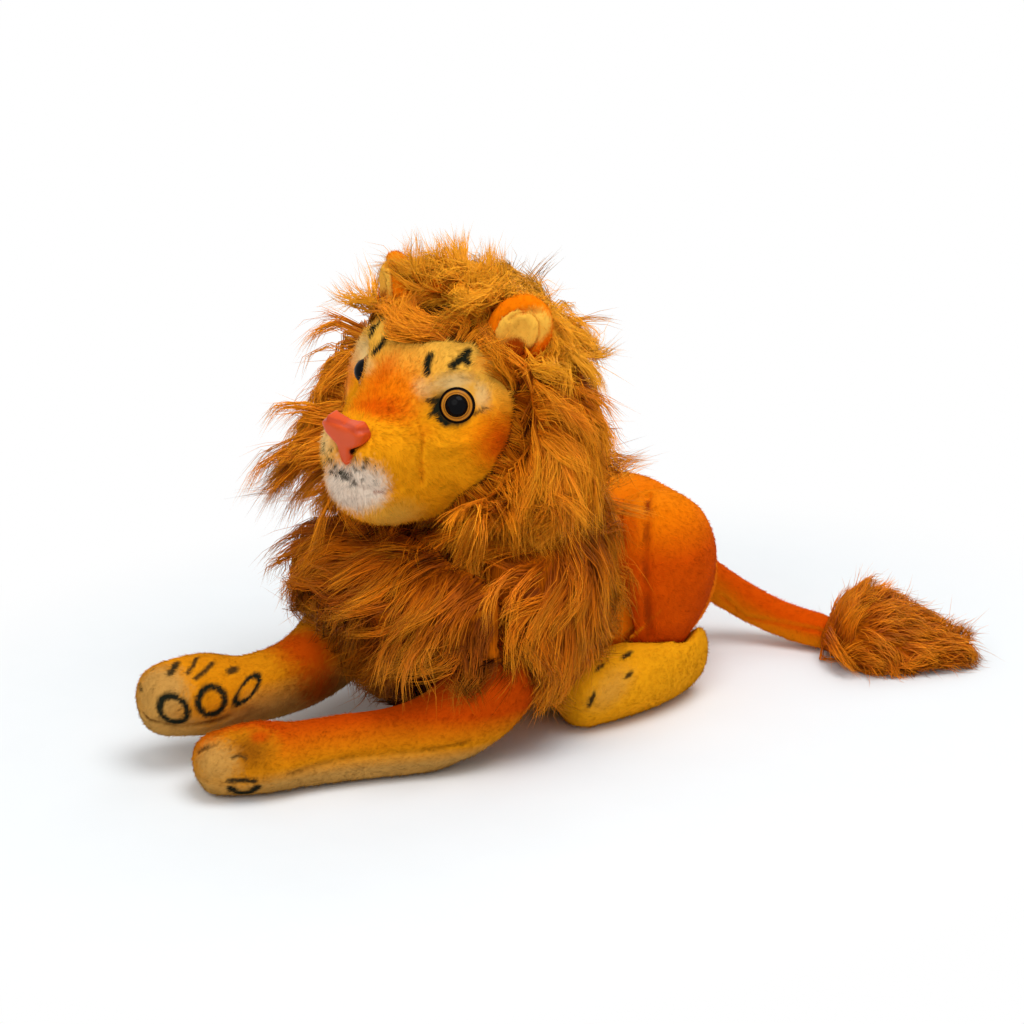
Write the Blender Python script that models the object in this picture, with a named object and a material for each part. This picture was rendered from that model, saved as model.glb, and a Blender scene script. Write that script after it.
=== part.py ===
"""A stuffed toy lion lying down with its head raised and one front paw lifted.

Forward is +X, the lion's left is +Y and up is +Z. The origin is on the floor, in the
middle of the flat stretch of the belly that the toy rests on.

Every stuffed piece is a run of egg-shaped rings along a smooth path, closed by two
rounded ends, and the smaller piece of two that meet is cut by the larger one.
"""
import math

import bmesh
import bpy
from mathutils import Matrix, Vector

# Fits
CLEARANCE = 0.0003
SWING_CLEARANCE = 0.0008
FOREARM_CLEARANCE = 0.0011
BALL_CLEARANCE = 0.0009
FLOOR_PRESS = 0.0005
OVERRUN = 0.300

# Torso
TORSO_LENGTH = 0.148
TORSO_WIDTH = 0.096
TORSO_HEIGHT = 0.102
TORSO_REAR_X = -0.094
TORSO_REAR_END = 0.015
TORSO_CHEST_END = 0.014
TORSO_SHARES = (
    (0.00, 0.0, 0.40, 0.32, 0.33, 0.33),
    (0.11, 0.0, 0.43, 0.42, 0.44, 0.43),
    (0.28, 0.0, 0.45, 0.47, 0.51, 0.455),
    (0.48, 0.0, 0.45, 0.47, 0.54, 0.455),
    (0.68, 0.0, 0.45, 0.45, 0.53, 0.455),
    (0.88, 0.0, 0.45, 0.42, 0.49, 0.45),
    (1.00, 0.0, 0.46, 0.34, 0.37, 0.36),
)

# Haunches
HAUNCH_LENGTH = 0.044
HAUNCH_WIDTH = 0.050
HAUNCH_HEIGHT = 0.084
HAUNCH_END = 0.011
HAUNCH_X_SHARE = 0.13
HAUNCH_Y_SHARE = 0.32
HAUNCH_Z_SHARE = 0.54
HAUNCH_SHARES = (
    (0.00, 0.00, -0.05, 0.36, 0.35, 0.36),
    (0.30, 0.05, 0.00, 0.48, 0.47, 0.48),
    (0.65, 0.06, 0.00, 0.50, 0.50, 0.50),
    (1.00, 0.00, -0.02, 0.38, 0.40, 0.42),
)

# Hind feet, each with its lower leg
HIND_FOOT_LENGTH = 0.066
HIND_FOOT_WIDTH = 0.040
HIND_FOOT_HEIGHT = 0.040
HIND_FOOT_HEEL_END = 0.009
HIND_FOOT_TOE_END = 0.011
HIND_FOOT_X_SHARE = 0.18
HIND_FOOT_Y_SHARE = 0.40
HIND_FOOT_SHARES = (
    (0.00, 0.00, 0.58, 0.40, 0.44, 0.56),
    (0.30, 0.10, 0.53, 0.48, 0.48, 0.545),
    (0.65, 0.18, 0.46, 0.46, 0.42, 0.475),
    (1.00, 0.14, 0.44, 0.44, 0.42, 0.45),
)

# Neck, a stuffed ball that the head turns and nods on
NECK_RADIUS = 0.028
NECK_X_SHARE = 0.784
NECK_Z_SHARE = 1.098
NECK_TILT = math.radians(20)
HEAD_NOD = math.radians(6)
COLLAR_DROP = math.radians(1)
COLLAR_SPARE = math.radians(1.5)

# Head
HEAD_LENGTH = 0.090
HEAD_WIDTH = 0.084
HEAD_HEIGHT = 0.090
HEAD_BACK_X_SHARE = -0.333
HEAD_BACK_END = 0.012
HEAD_MUZZLE_END = 0.007
HEAD_FORWARD_SHARE = 0.105
HEAD_LIFT_SHARE = 0.411
HEAD_YAW = math.radians(9)
HEAD_ROLL = math.radians(-5)
HEAD_RING_LEAN = 0.2
HEAD_RING_POWER_SHARE = 0.8
HEAD_SHARES = (
    (0.00, 0.0, 0.00, 0.32, 0.30, 0.28),
    (0.20, 0.0, -0.01, 0.47, 0.43, 0.40),
    (0.42, 0.0, -0.04, 0.55, 0.46, 0.44),
    (0.58, 0.0, -0.13, 0.51, 0.43, 0.395),
    (0.70, 0.0, -0.20, 0.37, 0.35, 0.355),
    (0.84, 0.0, -0.25, 0.27, 0.27, 0.31),
    (1.00, 0.0, -0.245, 0.23, 0.24, 0.265),
)

# Eyes: a plastic dome on a shank, held inside the head by a washer
EYE_RADIUS = 0.008
EYE_BULGE = 0.0042
EYE_SUNK = 0.0016
EYE_STATION = 3.4
EYE_ANGLE = math.radians(39)
EYE_SINK = 0.0066
EYE_TURN = math.radians(36)
EYE_RAISE = math.radians(14)
EYE_SOCKET_RADIUS = 0.0160
SHANK_RADIUS = 0.0022
SHANK_LENGTH = 0.0125
WASHER_RADIUS = 0.0062
WASHER_THICKNESS = 0.0016
WASHER_DEPTH = 0.0070
POCKET_MOUTH = 0.0075

# Nose: a moulded plastic piece on the same kind of shank and washer
NOSE_WIDTH = 0.024
NOSE_HEIGHT = 0.022
NOSE_THICKNESS = 0.0075
NOSE_SUNK = 0.0030
NOSE_FORWARD_SHARE = 0.45
NOSE_RISE_SHARE = 0.150
NOSE_LEAN = math.radians(-14)
NOSE_ROUNDING = 0.0022
NOSE_OUTLINE_SHARES = (
    (-0.50, 0.34),
    (-0.36, 0.50),
    (0.0, 0.42),
    (0.36, 0.50),
    (0.50, 0.34),
    (0.44, 0.12),
    (0.20, -0.06),
    (0.13, -0.42),
    (0.0, -0.50),
    (-0.13, -0.42),
    (-0.20, -0.06),
    (-0.44, 0.12),
)

# Ears
EAR_WIDTH = 0.028
EAR_HEIGHT = 0.034
EAR_THICKNESS = 0.014
EAR_WALL = 0.0035
EAR_LINING = 0.0020
EAR_X_SHARE = 0.030
EAR_Y_SHARE = 0.430
EAR_Z_SHARE = 0.420
EAR_TURN = math.radians(30)
EAR_LEAN = math.radians(30)

# Front legs
FORELEG_REACH = 0.096
FORELEG_SPREAD = 0.026
FORELEG_THICKNESS = 0.040
FORELEG_WRIST_END = 0.006
SHOULDER_RADIUS = 0.020
SHOULDER_X_SHARE = 0.90
SHOULDER_Y_SHARE = 0.47
SHOULDER_Z_SHARE = 0.50
FORELEG_UNDER_SHARE = 0.39
ELBOW_STATION = 2
LEFT_LEG_SHARES = (
    (0.00, 0.00, 0.00, 0.50, 0.50, 0.50),
    (0.10, 0.18, -0.45, 0.50, 0.50, 0.50),
    (0.30, 0.08, -0.86, 0.43, 0.46, 0.43),
    (0.52, -0.22, -0.98, 0.36, 0.36, 0.41),
    (0.73, -0.54, -0.99, 0.33, 0.34, 0.39),
    (0.96, -0.83, -1.00, 0.33, 0.33, 0.39),
)
RIGHT_LEG_SHARES = (
    (0.00, 0.00, 0.00, 0.50, 0.50, 0.50),
    (0.22, 0.20, -0.38, 0.48, 0.50, 0.48),
    (0.46, 0.62, -0.56, 0.43, 0.44, 0.44),
    (0.70, 0.94, -0.62, 0.38, 0.40, 0.40),
    (0.97, 1.00, -0.62, 0.36, 0.38, 0.38),
)
LEFT_LIFT = math.radians(10)
RIGHT_LIFT = math.radians(5)
RIGHT_DROP = math.radians(10)

# Front paws
FOREPAW_LENGTH = 0.035
FOREPAW_WIDTH = 0.038
FOREPAW_HEIGHT = 0.036
FOREPAW_UNDER_SHARE = 0.48
LEFT_PAW_PRESS_SHARE = 0.84
LEFT_PAW_TURN = math.radians(-8)
RIGHT_PAW_TURN = math.radians(-24)
LEFT_PAW_ROLL = math.radians(8)
RIGHT_PAW_ROLL = math.radians(48)
FOREPAW_WRIST_END = 0.008
FOREPAW_TOE_END = 0.010
FOREPAW_SHARES = (
    (0.00, 0.0, 0.00, 0.40, 0.42, 0.42),
    (0.45, 0.0, 0.02, 0.50, 0.50, 0.50),
    (1.00, 0.0, 0.00, 0.44, 0.42, 0.44),
)
SOLE_SHARE = -0.32

# Tail
TAIL_REACH = 0.050
TAIL_SPREAD = 0.045
TAIL_THICKNESS = 0.018
TAIL_ROOT_RADIUS = 0.0105
TAIL_X_SHARE = -0.065
TAIL_Z_SHARE = 0.44
TAIL_UNDER_SHARE = 0.50
TAIL_BEND_STATION = 2
TAIL_TIP_END = 0.004
TAIL_SWING = math.radians(15)
TAIL_SHARES = (
    (0.00, 0.00, 0.00, 0.52, 0.52, 0.52),
    (0.22, 0.04, -0.30, 0.50, 0.52, 0.52),
    (0.50, 0.18, -0.62, 0.48, 0.50, 0.50),
    (0.78, 0.52, -0.90, 0.46, 0.48, 0.48),
    (1.00, 1.00, -1.00, 0.44, 0.46, 0.46),
)

# Tuft at the tail's end
TUFT_LENGTH = 0.060
TUFT_WIDTH = 0.062
TUFT_HEIGHT = 0.042
TUFT_TURN = math.radians(128)
TUFT_ROOT_END = 0.007
TUFT_TIP_END = 0.012
TUFT_UNDER_SHARE = 0.22
TUFT_SHARES = (
    (0.00, 0.00, 0.00, 0.30, 0.34, 0.215),
    (0.22, 0.00, -0.06, 0.52, 0.66, 0.160),
    (0.58, 0.00, -0.08, 0.52, 0.50, 0.140),
    (1.00, 0.00, -0.10, 0.28, 0.24, 0.115),
)

# Mane on the head: a hood that the face looks out of
HOOD_HEIGHT = 0.068
HOOD_LENGTH = 0.128
HOOD_WIDTH = 0.128
HOOD_CROWN_END = 0.020
HOOD_COLLAR_END = 0.010
HOOD_BASE_LIFT = 0.006
HOOD_SHARES = (
    (0.06, 0.0, 0.00, 0.58, 0.62, 0.40),
    (0.06, 0.0, 0.28, 0.56, 0.54, 0.42),
    (0.06, 0.0, 0.60, 0.49, 0.42, 0.42),
    (0.06, 0.0, 0.84, 0.42, 0.34, 0.40),
    (0.06, 0.0, 1.00, 0.34, 0.27, 0.33),
)
FACE_LINE_SHARES = (
    (0.18, 1.20),
    (0.12, 0.28),
    (0.10, -0.02),
    (0.22, -0.30),
    (0.42, -0.47),
    (0.80, -0.56),
    (1.80, -0.62),
)
CROWN_LINE_SHARE = 0.24
NAPE_LINE_SHARE = -0.16

# Mane on the chest and shoulders
BIB_HEIGHT_SHARE = 0.875
BIB_LENGTH = 0.140
BIB_WIDTH = 0.142
BIB_TOP_END = 0.010
BIB_HEM_END = 0.008
BIB_SHARES = (
    (0.10, 0.0, 0.00, 0.47, 0.50, 0.44),
    (0.10, 0.0, -0.26, 0.51, 0.54, 0.52),
    (0.12, 0.0, -0.52, 0.52, 0.53, 0.57),
    (0.18, 0.0, -0.76, 0.49, 0.41, 0.53),
    (0.26, 0.0, -0.94, 0.38, 0.27, 0.38),
)
BIB_SPLIT_GAP = 0.003
BIB_FLOOR_GAP = 0.002
SHOULDER_HEM_X_SHARE = 0.14
SHOULDER_HEM_Z_SHARE = 0.25
SHOULDER_HEM_RISE = math.radians(17)

# Colours, each red, green and blue from 0 to 1, and how rough each surface is
ORANGE = (0.85, 0.25, 0.01)
AMBER = (0.75, 0.35, 0.02)
YELLOW = (0.85, 0.45, 0.03)
TAN = (0.60, 0.36, 0.12)
GOLDEN_BROWN = (0.45, 0.16, 0.01)
SALMON = (0.60, 0.10, 0.05)
NEAR_BLACK = (0.02, 0.015, 0.01)
OFF_WHITE = (0.80, 0.80, 0.78)
PLUSH_ROUGHNESS = 0.9
SATIN_ROUGHNESS = 0.4
GLOSS_ROUGHNESS = 0.08

# Facets
FINE_SIDES = 22
COARSE_SIDES = 16
BALL_SIDES = 24
SWEEP_SIDES = 12
END_STEPS = 3
SAMPLES_A_STATION = 2

SIDES = {"left": 1, "right": -1}


def clear_scene():
    for item in list(bpy.data.objects):
        bpy.data.objects.remove(item, do_unlink=True)


def material(name, colour, roughness):
    """A plain material of one colour that isn't metal."""
    made = bpy.data.materials.new(name)
    made.use_nodes = True
    shader = made.node_tree.nodes["Principled BSDF"]
    shader.inputs["Base Color"].default_value = (*colour, 1.0)
    shader.inputs["Roughness"].default_value = roughness
    shader.inputs["Metallic"].default_value = 0.0
    made.diffuse_color = (*colour, 1.0)
    return made


def orange_plush():
    return material("orange plush", ORANGE, PLUSH_ROUGHNESS)


def amber_plush():
    return material("amber plush", AMBER, PLUSH_ROUGHNESS)


def yellow_plush():
    return material("yellow plush", YELLOW, PLUSH_ROUGHNESS)


def tan_plush():
    return material("tan plush", TAN, PLUSH_ROUGHNESS)


def mane_fur():
    return material("golden brown fur", GOLDEN_BROWN, PLUSH_ROUGHNESS)


def nose_plastic():
    return material("salmon plastic", SALMON, SATIN_ROUGHNESS)


def eye_plastic():
    return material("dark eye plastic", NEAR_BLACK, GLOSS_ROUGHNESS)


def washer_plastic():
    return material("white washer plastic", OFF_WHITE, SATIN_ROUGHNESS)


class Form:
    """A stuffed shape: egg-shaped rings along a path, in shares of the sizes it is given."""

    def __init__(self, shares, reach, girth, ends, place, sides=COARSE_SIDES, side_sign=1, lean=1.0, power=1.0):
        self.shares = shares
        self.reach = reach
        self.girth = girth
        self.ends = ends
        self.place = place
        self.sides = sides
        self.side_sign = side_sign
        self.lean = lean
        self.power = power

    def round_ring(self, angle):
        """The cosine and sine of an angle round a ring, drawn out to a squarer ring by a power below one."""
        across = math.cos(angle)
        along = math.sin(angle)
        return (
            math.copysign(abs(across) ** self.power, across),
            math.copysign(abs(along) ** self.power, along),
        )

    def station(self, at):
        """One row of the table at a place between rows, on a smooth curve through them."""
        last = len(self.shares) - 1
        index = min(int(at), last - 1)
        part = at - index
        rows = [self.shares[min(max(index + k, 0), last)] for k in (-1, 0, 1, 2)]
        row = []
        for before, start, end, after in zip(*rows):
            slope_in = (end - before) / 2
            slope_out = (after - start) / 2
            rise = end - start
            row.append(
                start
                + part * slope_in
                + part**2 * (3 * rise - 2 * slope_in - slope_out)
                + part**3 * (slope_in + slope_out - 2 * rise)
            )
        return row

    def centre(self, at):
        row = self.station(at)
        place = Vector([share * size for share, size in zip(row, self.reach)])
        place.y *= self.side_sign
        return place

    def frame(self, at):
        """The direction that a ring faces and its two axes; it leans as far with the path as told."""
        last = len(self.shares) - 1
        step = 1 / (2 * SAMPLES_A_STATION)
        ahead = self.centre(min(at + step, last)) - self.centre(max(at - step, 0))
        straight = (self.centre(last) - self.centre(0)).normalized()
        ahead = straight.lerp(ahead.normalized(), self.lean).normalized()
        if abs(straight.z) > abs(straight.x):
            up = ahead.cross(Vector((0, 1, 0))).normalized()
            if up.x < 0:
                up = -up
        else:
            side = Vector((0, 0, 1)).cross(ahead).normalized()
            up = ahead.cross(side)
        side = up.cross(ahead).normalized()
        if side.y < 0:
            side = -side
        return ahead, side, up.normalized()

    def surface(self, at, angle):
        """A point of the skin, at a station and at an angle round its ring."""
        _, side, up = self.frame(at)
        row = self.station(at)
        wide, high = self.round_ring(angle)
        height = row[4] if high > 0 else row[5]
        across = side * row[3] * self.girth[0] * wide
        return self.place @ (self.centre(at) + across + up * height * self.girth[1] * high)

    def rings(self, grow):
        """Each ring as its centre, side, up, half width, half above and half below."""
        last = len(self.shares) - 1
        count = last * SAMPLES_A_STATION
        made = []
        for end, at in ((0, 0.0), (1, float(last))):
            ahead, side, up = self.frame(at)
            row = self.station(at)
            out = -ahead if end == 0 else ahead
            rounded = []
            for step in range(1, END_STEPS):
                angle = math.pi / 2 * step / END_STEPS
                rounded.append(
                    (
                        self.centre(at) + out * (self.ends[end] + grow) * math.sin(angle),
                        side,
                        up,
                        (row[3] * self.girth[0] + grow) * math.cos(angle),
                        (row[4] * self.girth[1] + grow) * math.cos(angle),
                        (row[5] * self.girth[1] + grow) * math.cos(angle),
                    )
                )
            made.append(rounded)
        body = []
        for index in range(count + 1):
            at = last * index / count
            _, side, up = self.frame(at)
            row = self.station(at)
            widths = [row[3] * self.girth[0], row[4] * self.girth[1], row[5] * self.girth[1]]
            body.append((self.centre(at), side, up, *(width + grow for width in widths)))
        return made[0][::-1] + body + made[1]

    def poles(self, grow):
        last = float(len(self.shares) - 1)
        first = self.centre(0.0) - self.frame(0.0)[0] * (self.ends[0] + grow)
        return first, self.centre(last) + self.frame(last)[0] * (self.ends[1] + grow)

    def mesh(self, grow=0.0, turns=(Matrix(),)):
        """The closed skin, grown all round, or the skins at several turns of the piece."""
        made = bmesh.new()
        for turn in turns:
            whole = turn @ self.place
            loops = []
            for centre, side, up, width, above, below in self.rings(grow):
                loop = []
                for index in range(self.sides):
                    wide, high = self.round_ring(2 * math.pi * index / self.sides)
                    height = above if high > 0 else below
                    point = centre + side * width * wide + up * height * high
                    loop.append(made.verts.new(whole @ point))
                loops.append(loop)
            for near, far in zip(loops, loops[1:]):
                for index in range(self.sides):
                    following = (index + 1) % self.sides
                    made.faces.new((near[index], near[following], far[following], far[index]))
            for pole, loop in zip(self.poles(grow), (loops[0], loops[-1])):
                tip = made.verts.new(whole @ pole)
                for index in range(self.sides):
                    made.faces.new((tip, loop[index], loop[(index + 1) % self.sides]))
        bmesh.ops.recalc_face_normals(made, faces=made.faces)
        bmesh.ops.triangulate(made, faces=made.faces, quad_method="SHORT_EDGE")
        return made


def add_object(name, made, origin):
    mesh = bpy.data.meshes.new(name)
    bmesh.ops.translate(made, verts=made.verts, vec=-origin)
    made.to_mesh(mesh)
    made.free()
    item = bpy.data.objects.new(name, mesh)
    item.location = origin
    bpy.context.scene.collection.objects.link(item)
    return item


def add_cutter(name, made):
    """A hidden shape that only takes away from the pieces."""
    item = add_object(name, made, Vector())
    item.hide_render = True
    item.display_type = "WIRE"
    return item


def add_piece(name, made, finish, pivot=Vector()):
    """A piece of the toy, with its origin on the joint that moves it."""
    item = add_object(name, made, pivot)
    item.data.materials.append(finish)
    item.data.shade_smooth()
    return item


def boolean(item, operation, others):
    for other in others:
        step = item.modifiers.new(operation.lower() + " " + other.name, "BOOLEAN")
        step.operation = operation
        step.solver = "EXACT"
        step.object = other


def cut(item, *cutters):
    boolean(item, "DIFFERENCE", cutters)


def ball(radius, centre, segments=COARSE_SIDES):
    made = bmesh.new()
    bmesh.ops.create_uvsphere(made, u_segments=segments, v_segments=segments // 2, radius=radius)
    bmesh.ops.translate(made, verts=made.verts, vec=centre)
    return made


def egg(half, place):
    """A ball stretched to three half sizes, standing in a frame of its own."""
    made = ball(half.z, Vector())
    bmesh.ops.scale(made, verts=made.verts, vec=half / half.z)
    bmesh.ops.transform(made, verts=made.verts, matrix=place)
    return made


def turned(profile, place, segments=COARSE_SIDES):
    """A closed profile of (radius, height) points spun about the place's own Z axis."""
    made = bmesh.new()
    verts = [made.verts.new((radius, 0, height)) for radius, height in profile]
    edges = [made.edges.new(pair) for pair in zip(verts, verts[1:])]
    bmesh.ops.spin(
        made,
        geom=verts + edges,
        cent=(0, 0, 0),
        axis=(0, 0, 1),
        angle=2 * math.pi,
        steps=segments,
        use_merge=True,
    )
    bmesh.ops.remove_doubles(made, verts=made.verts, dist=CLEARANCE / 100)
    bmesh.ops.recalc_face_normals(made, faces=made.faces)
    bmesh.ops.transform(made, verts=made.verts, matrix=place)
    return made


def slice_off(made, point, outward):
    """Takes away what lies past a plane and closes the cut."""
    bmesh.ops.bisect_plane(
        made,
        geom=made.verts[:] + made.edges[:] + made.faces[:],
        plane_co=point,
        plane_no=outward,
        clear_outer=True,
    )
    rim = [edge for edge in made.edges if edge.is_boundary]
    if rim:
        bmesh.ops.holes_fill(made, edges=rim, sides=0)
    bmesh.ops.recalc_face_normals(made, faces=made.faces)


def stand_on_floor(made):
    slice_off(made, (0, 0, 0), (0, 0, -1))
    return made


def torso_point(x_share, y_share, z_share):
    """A place on the torso, in shares of its length, width and height."""
    return Vector(
        (TORSO_REAR_X + x_share * TORSO_LENGTH, y_share * TORSO_WIDTH, z_share * TORSO_HEIGHT)
    )


# Places that several pieces share
NECK_PIVOT = torso_point(NECK_X_SHARE, 0.0, NECK_Z_SHARE)
NECK_FRAME = Matrix.Translation(NECK_PIVOT) @ Matrix.Rotation(NECK_TILT, 4, "Y")
HEAD_FRAME = (
    Matrix.Translation(NECK_PIVOT)
    @ Matrix.Rotation(HEAD_YAW, 4, "Z")
    @ Matrix.Translation((HEAD_FORWARD_SHARE * HEAD_LENGTH, 0, HEAD_LIFT_SHARE * HEAD_HEIGHT))
    @ Matrix.Rotation(HEAD_ROLL, 4, "X")
)
TAIL_ROOT = torso_point(TAIL_X_SHARE, 0.0, TAIL_Z_SHARE)


def shoulder(sign):
    return torso_point(SHOULDER_X_SHARE, sign * SHOULDER_Y_SHARE, SHOULDER_Z_SHARE)


# Forms
TORSO = Form(
    TORSO_SHARES,
    (TORSO_LENGTH, TORSO_WIDTH, TORSO_HEIGHT),
    (TORSO_WIDTH, TORSO_HEIGHT),
    (TORSO_REAR_END, TORSO_CHEST_END),
    Matrix.Translation((TORSO_REAR_X, 0, 0)),
    FINE_SIDES,
)
HEAD = Form(
    HEAD_SHARES,
    (HEAD_LENGTH, HEAD_WIDTH, HEAD_HEIGHT),
    (HEAD_WIDTH, HEAD_HEIGHT),
    (HEAD_BACK_END, HEAD_MUZZLE_END),
    HEAD_FRAME @ Matrix.Translation((HEAD_BACK_X_SHARE * HEAD_LENGTH, 0, 0)),
    FINE_SIDES,
    lean=HEAD_RING_LEAN,
    power=HEAD_RING_POWER_SHARE,
)
HOOD = Form(
    HOOD_SHARES,
    (HOOD_LENGTH, HOOD_WIDTH, HOOD_HEIGHT),
    (HOOD_WIDTH, HOOD_LENGTH),
    (HOOD_COLLAR_END, HOOD_CROWN_END),
    Matrix.Translation(NECK_PIVOT)
    @ Matrix.Rotation(HEAD_YAW, 4, "Z")
    @ Matrix.Translation((0, 0, HOOD_BASE_LIFT)),
    FINE_SIDES,
)
BIB = Form(
    BIB_SHARES,
    (BIB_LENGTH, BIB_WIDTH, BIB_HEIGHT_SHARE * NECK_PIVOT.z),
    (BIB_WIDTH, BIB_LENGTH),
    (BIB_TOP_END, BIB_HEM_END),
    Matrix.Translation(NECK_PIVOT),
    FINE_SIDES,
)


def haunch_form(sign):
    return Form(
        HAUNCH_SHARES,
        (HAUNCH_LENGTH, HAUNCH_WIDTH, HAUNCH_HEIGHT),
        (HAUNCH_WIDTH, HAUNCH_HEIGHT),
        (HAUNCH_END, HAUNCH_END),
        Matrix.Translation(torso_point(HAUNCH_X_SHARE, sign * HAUNCH_Y_SHARE, HAUNCH_Z_SHARE)),
        side_sign=sign,
    )


def hind_foot_form(sign):
    return Form(
        HIND_FOOT_SHARES,
        (HIND_FOOT_LENGTH, HIND_FOOT_WIDTH, HIND_FOOT_HEIGHT),
        (HIND_FOOT_WIDTH, HIND_FOOT_HEIGHT),
        (HIND_FOOT_HEEL_END, HIND_FOOT_TOE_END),
        Matrix.Translation(torso_point(HIND_FOOT_X_SHARE, sign * HIND_FOOT_Y_SHARE, 0.0)),
        side_sign=sign,
    )


def foreleg_form(sign):
    """A front leg, from a shoulder at its own height down to the floor."""
    fall = shoulder(sign).z - FORELEG_UNDER_SHARE * FORELEG_THICKNESS + FLOOR_PRESS
    return Form(
        LEFT_LEG_SHARES if sign > 0 else RIGHT_LEG_SHARES,
        (FORELEG_REACH, FORELEG_SPREAD, fall),
        (FORELEG_THICKNESS, FORELEG_THICKNESS),
        (SHOULDER_RADIUS, FORELEG_WRIST_END),
        Matrix.Translation(shoulder(sign)),
    )


def forepaw_form(sign):
    """The paw goes on from the wrist, turned outwards and rolled on its own length."""
    leg = foreleg_form(sign)
    last = float(len(leg.shares) - 1)
    wrist = shoulder(sign) + leg.centre(last)
    ahead = leg.frame(last)[0]
    heading = math.atan2(ahead.y, ahead.x)
    if sign > 0:
        height = LEFT_PAW_PRESS_SHARE * FOREPAW_HEIGHT
        wrist.z = FOREPAW_UNDER_SHARE * height - FLOOR_PRESS
        turn = LEFT_PAW_TURN
        roll = LEFT_PAW_ROLL
    else:
        height = FOREPAW_HEIGHT
        turn = RIGHT_PAW_TURN
        roll = RIGHT_PAW_ROLL
    return Form(
        FOREPAW_SHARES,
        (FOREPAW_LENGTH, FOREPAW_WIDTH, height),
        (FOREPAW_WIDTH, height),
        (FOREPAW_WRIST_END, FOREPAW_TOE_END),
        Matrix.Translation(wrist)
        @ Matrix.Rotation(heading + turn, 4, "Z")
        @ Matrix.Rotation(-math.asin(ahead.z), 4, "Y")
        @ Matrix.Rotation(roll, 4, "X"),
    )


TAIL = Form(
    TAIL_SHARES,
    (-TAIL_REACH, TAIL_SPREAD, TAIL_ROOT.z - TAIL_UNDER_SHARE * TAIL_THICKNESS),
    (TAIL_THICKNESS, TAIL_THICKNESS),
    (TAIL_ROOT_RADIUS, TAIL_TIP_END),
    Matrix.Translation(TAIL_ROOT),
)
TAIL_END = TAIL_ROOT + TAIL.centre(float(len(TAIL_SHARES) - 1))
TUFT = Form(
    TUFT_SHARES,
    (TUFT_LENGTH, TUFT_WIDTH, TUFT_HEIGHT),
    (TUFT_WIDTH, TUFT_HEIGHT),
    (TUFT_ROOT_END, TUFT_TIP_END),
    Matrix.Translation((TAIL_END.x, TAIL_END.y, TUFT_UNDER_SHARE * TUFT_HEIGHT - FLOOR_PRESS))
    @ Matrix.Rotation(TUFT_TURN, 4, "Z"),
)


def swept(form, first, last, pivot, axis, angles, clearance):
    """The hull that a stretch of a piece, between two stations, sweeps about a pivot."""
    rings = form.rings(clearance)
    start, end = form.poles(clearance)
    points = []
    near = 0
    far = len(rings)
    if first == 0:
        points.append(start)
    else:
        near = END_STEPS - 1 + int(first * SAMPLES_A_STATION)
    if last == len(form.shares) - 1:
        points.append(end)
    else:
        far = END_STEPS + int(last * SAMPLES_A_STATION)
    outside = 1 / math.cos(math.pi / SWEEP_SIDES)
    for centre, side, up, width, above, below in rings[near:far]:
        for index in range(SWEEP_SIDES):
            angle = 2 * math.pi * index / SWEEP_SIDES
            height = above if math.sin(angle) > 0 else below
            across = side * width * math.cos(angle) + up * height * math.sin(angle)
            points.append(centre + across * outside)
    made = bmesh.new()
    for angle in angles:
        swing = Matrix.Translation(pivot) @ Matrix.Rotation(angle, 4, axis) @ Matrix.Translation(-pivot)
        for point in points:
            made.verts.new(swing @ form.place @ point)
    hull = bmesh.ops.convex_hull(made, input=made.verts)
    left_over = hull["geom_interior"] + hull["geom_unused"]
    spare = {item for item in left_over if isinstance(item, bmesh.types.BMVert)}
    bmesh.ops.delete(made, geom=list(spare), context="VERTS")
    bmesh.ops.recalc_face_normals(made, faces=made.faces)
    return made


def cone(rise, above):
    """All that lies above, or below, a cone about the neck's axis with its tip at the pivot."""
    reach = OVERRUN if above else -OVERRUN
    edge = OVERRUN * math.tan(rise)
    profile = ((0, 0), (OVERRUN, edge), (OVERRUN, edge + reach), (0, edge + reach))
    return turned(profile, NECK_FRAME)


def stud_frame(place, turn, tilt):
    """A frame at a place on the head, with its Z pointing out and its X pointing down."""
    return (
        Matrix.Translation(place)
        @ HEAD_FRAME.to_3x3().to_4x4()
        @ Matrix.Rotation(turn, 4, "Z")
        @ Matrix.Rotation(math.pi / 2 - tilt, 4, "Y")
    )


def eye_frame(sign):
    """An eye's frame, a little below the skin and facing outwards."""
    angle = EYE_ANGLE if sign > 0 else math.pi - EYE_ANGLE
    frame = stud_frame(HEAD.surface(EYE_STATION, angle), sign * EYE_TURN, EYE_RAISE)
    return frame @ Matrix.Translation((0, 0, -EYE_SINK))


def nose_frame():
    muzzle = HEAD.centre(float(len(HEAD_SHARES) - 1))
    rise = Vector((NOSE_FORWARD_SHARE * HEAD_MUZZLE_END, 0, NOSE_RISE_SHARE * HEAD_HEIGHT))
    return stud_frame(HEAD.place @ (muzzle + rise), 0, NOSE_LEAN)


def eye_profile():
    """Half of a domed eye with its shank, from the shank's end up to the dome's top."""
    curve = (EYE_RADIUS**2 + EYE_BULGE**2) / (2 * EYE_BULGE)
    profile = [
        (0, -SHANK_LENGTH),
        (SHANK_RADIUS, -SHANK_LENGTH),
        (SHANK_RADIUS, -EYE_SUNK),
        (EYE_RADIUS, -EYE_SUNK),
    ]
    steps = 2 * END_STEPS
    for step in range(steps + 1):
        radius = EYE_RADIUS * math.cos(math.pi / 2 * step / steps)
        profile.append((radius, EYE_BULGE - curve + math.sqrt(curve**2 - radius**2)))
    return profile


def washer_profile():
    inner = SHANK_RADIUS + CLEARANCE
    top = -WASHER_DEPTH
    bottom = top - WASHER_THICKNESS
    return ((inner, bottom), (WASHER_RADIUS, bottom), (WASHER_RADIUS, top), (inner, top), (inner, bottom))


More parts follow.
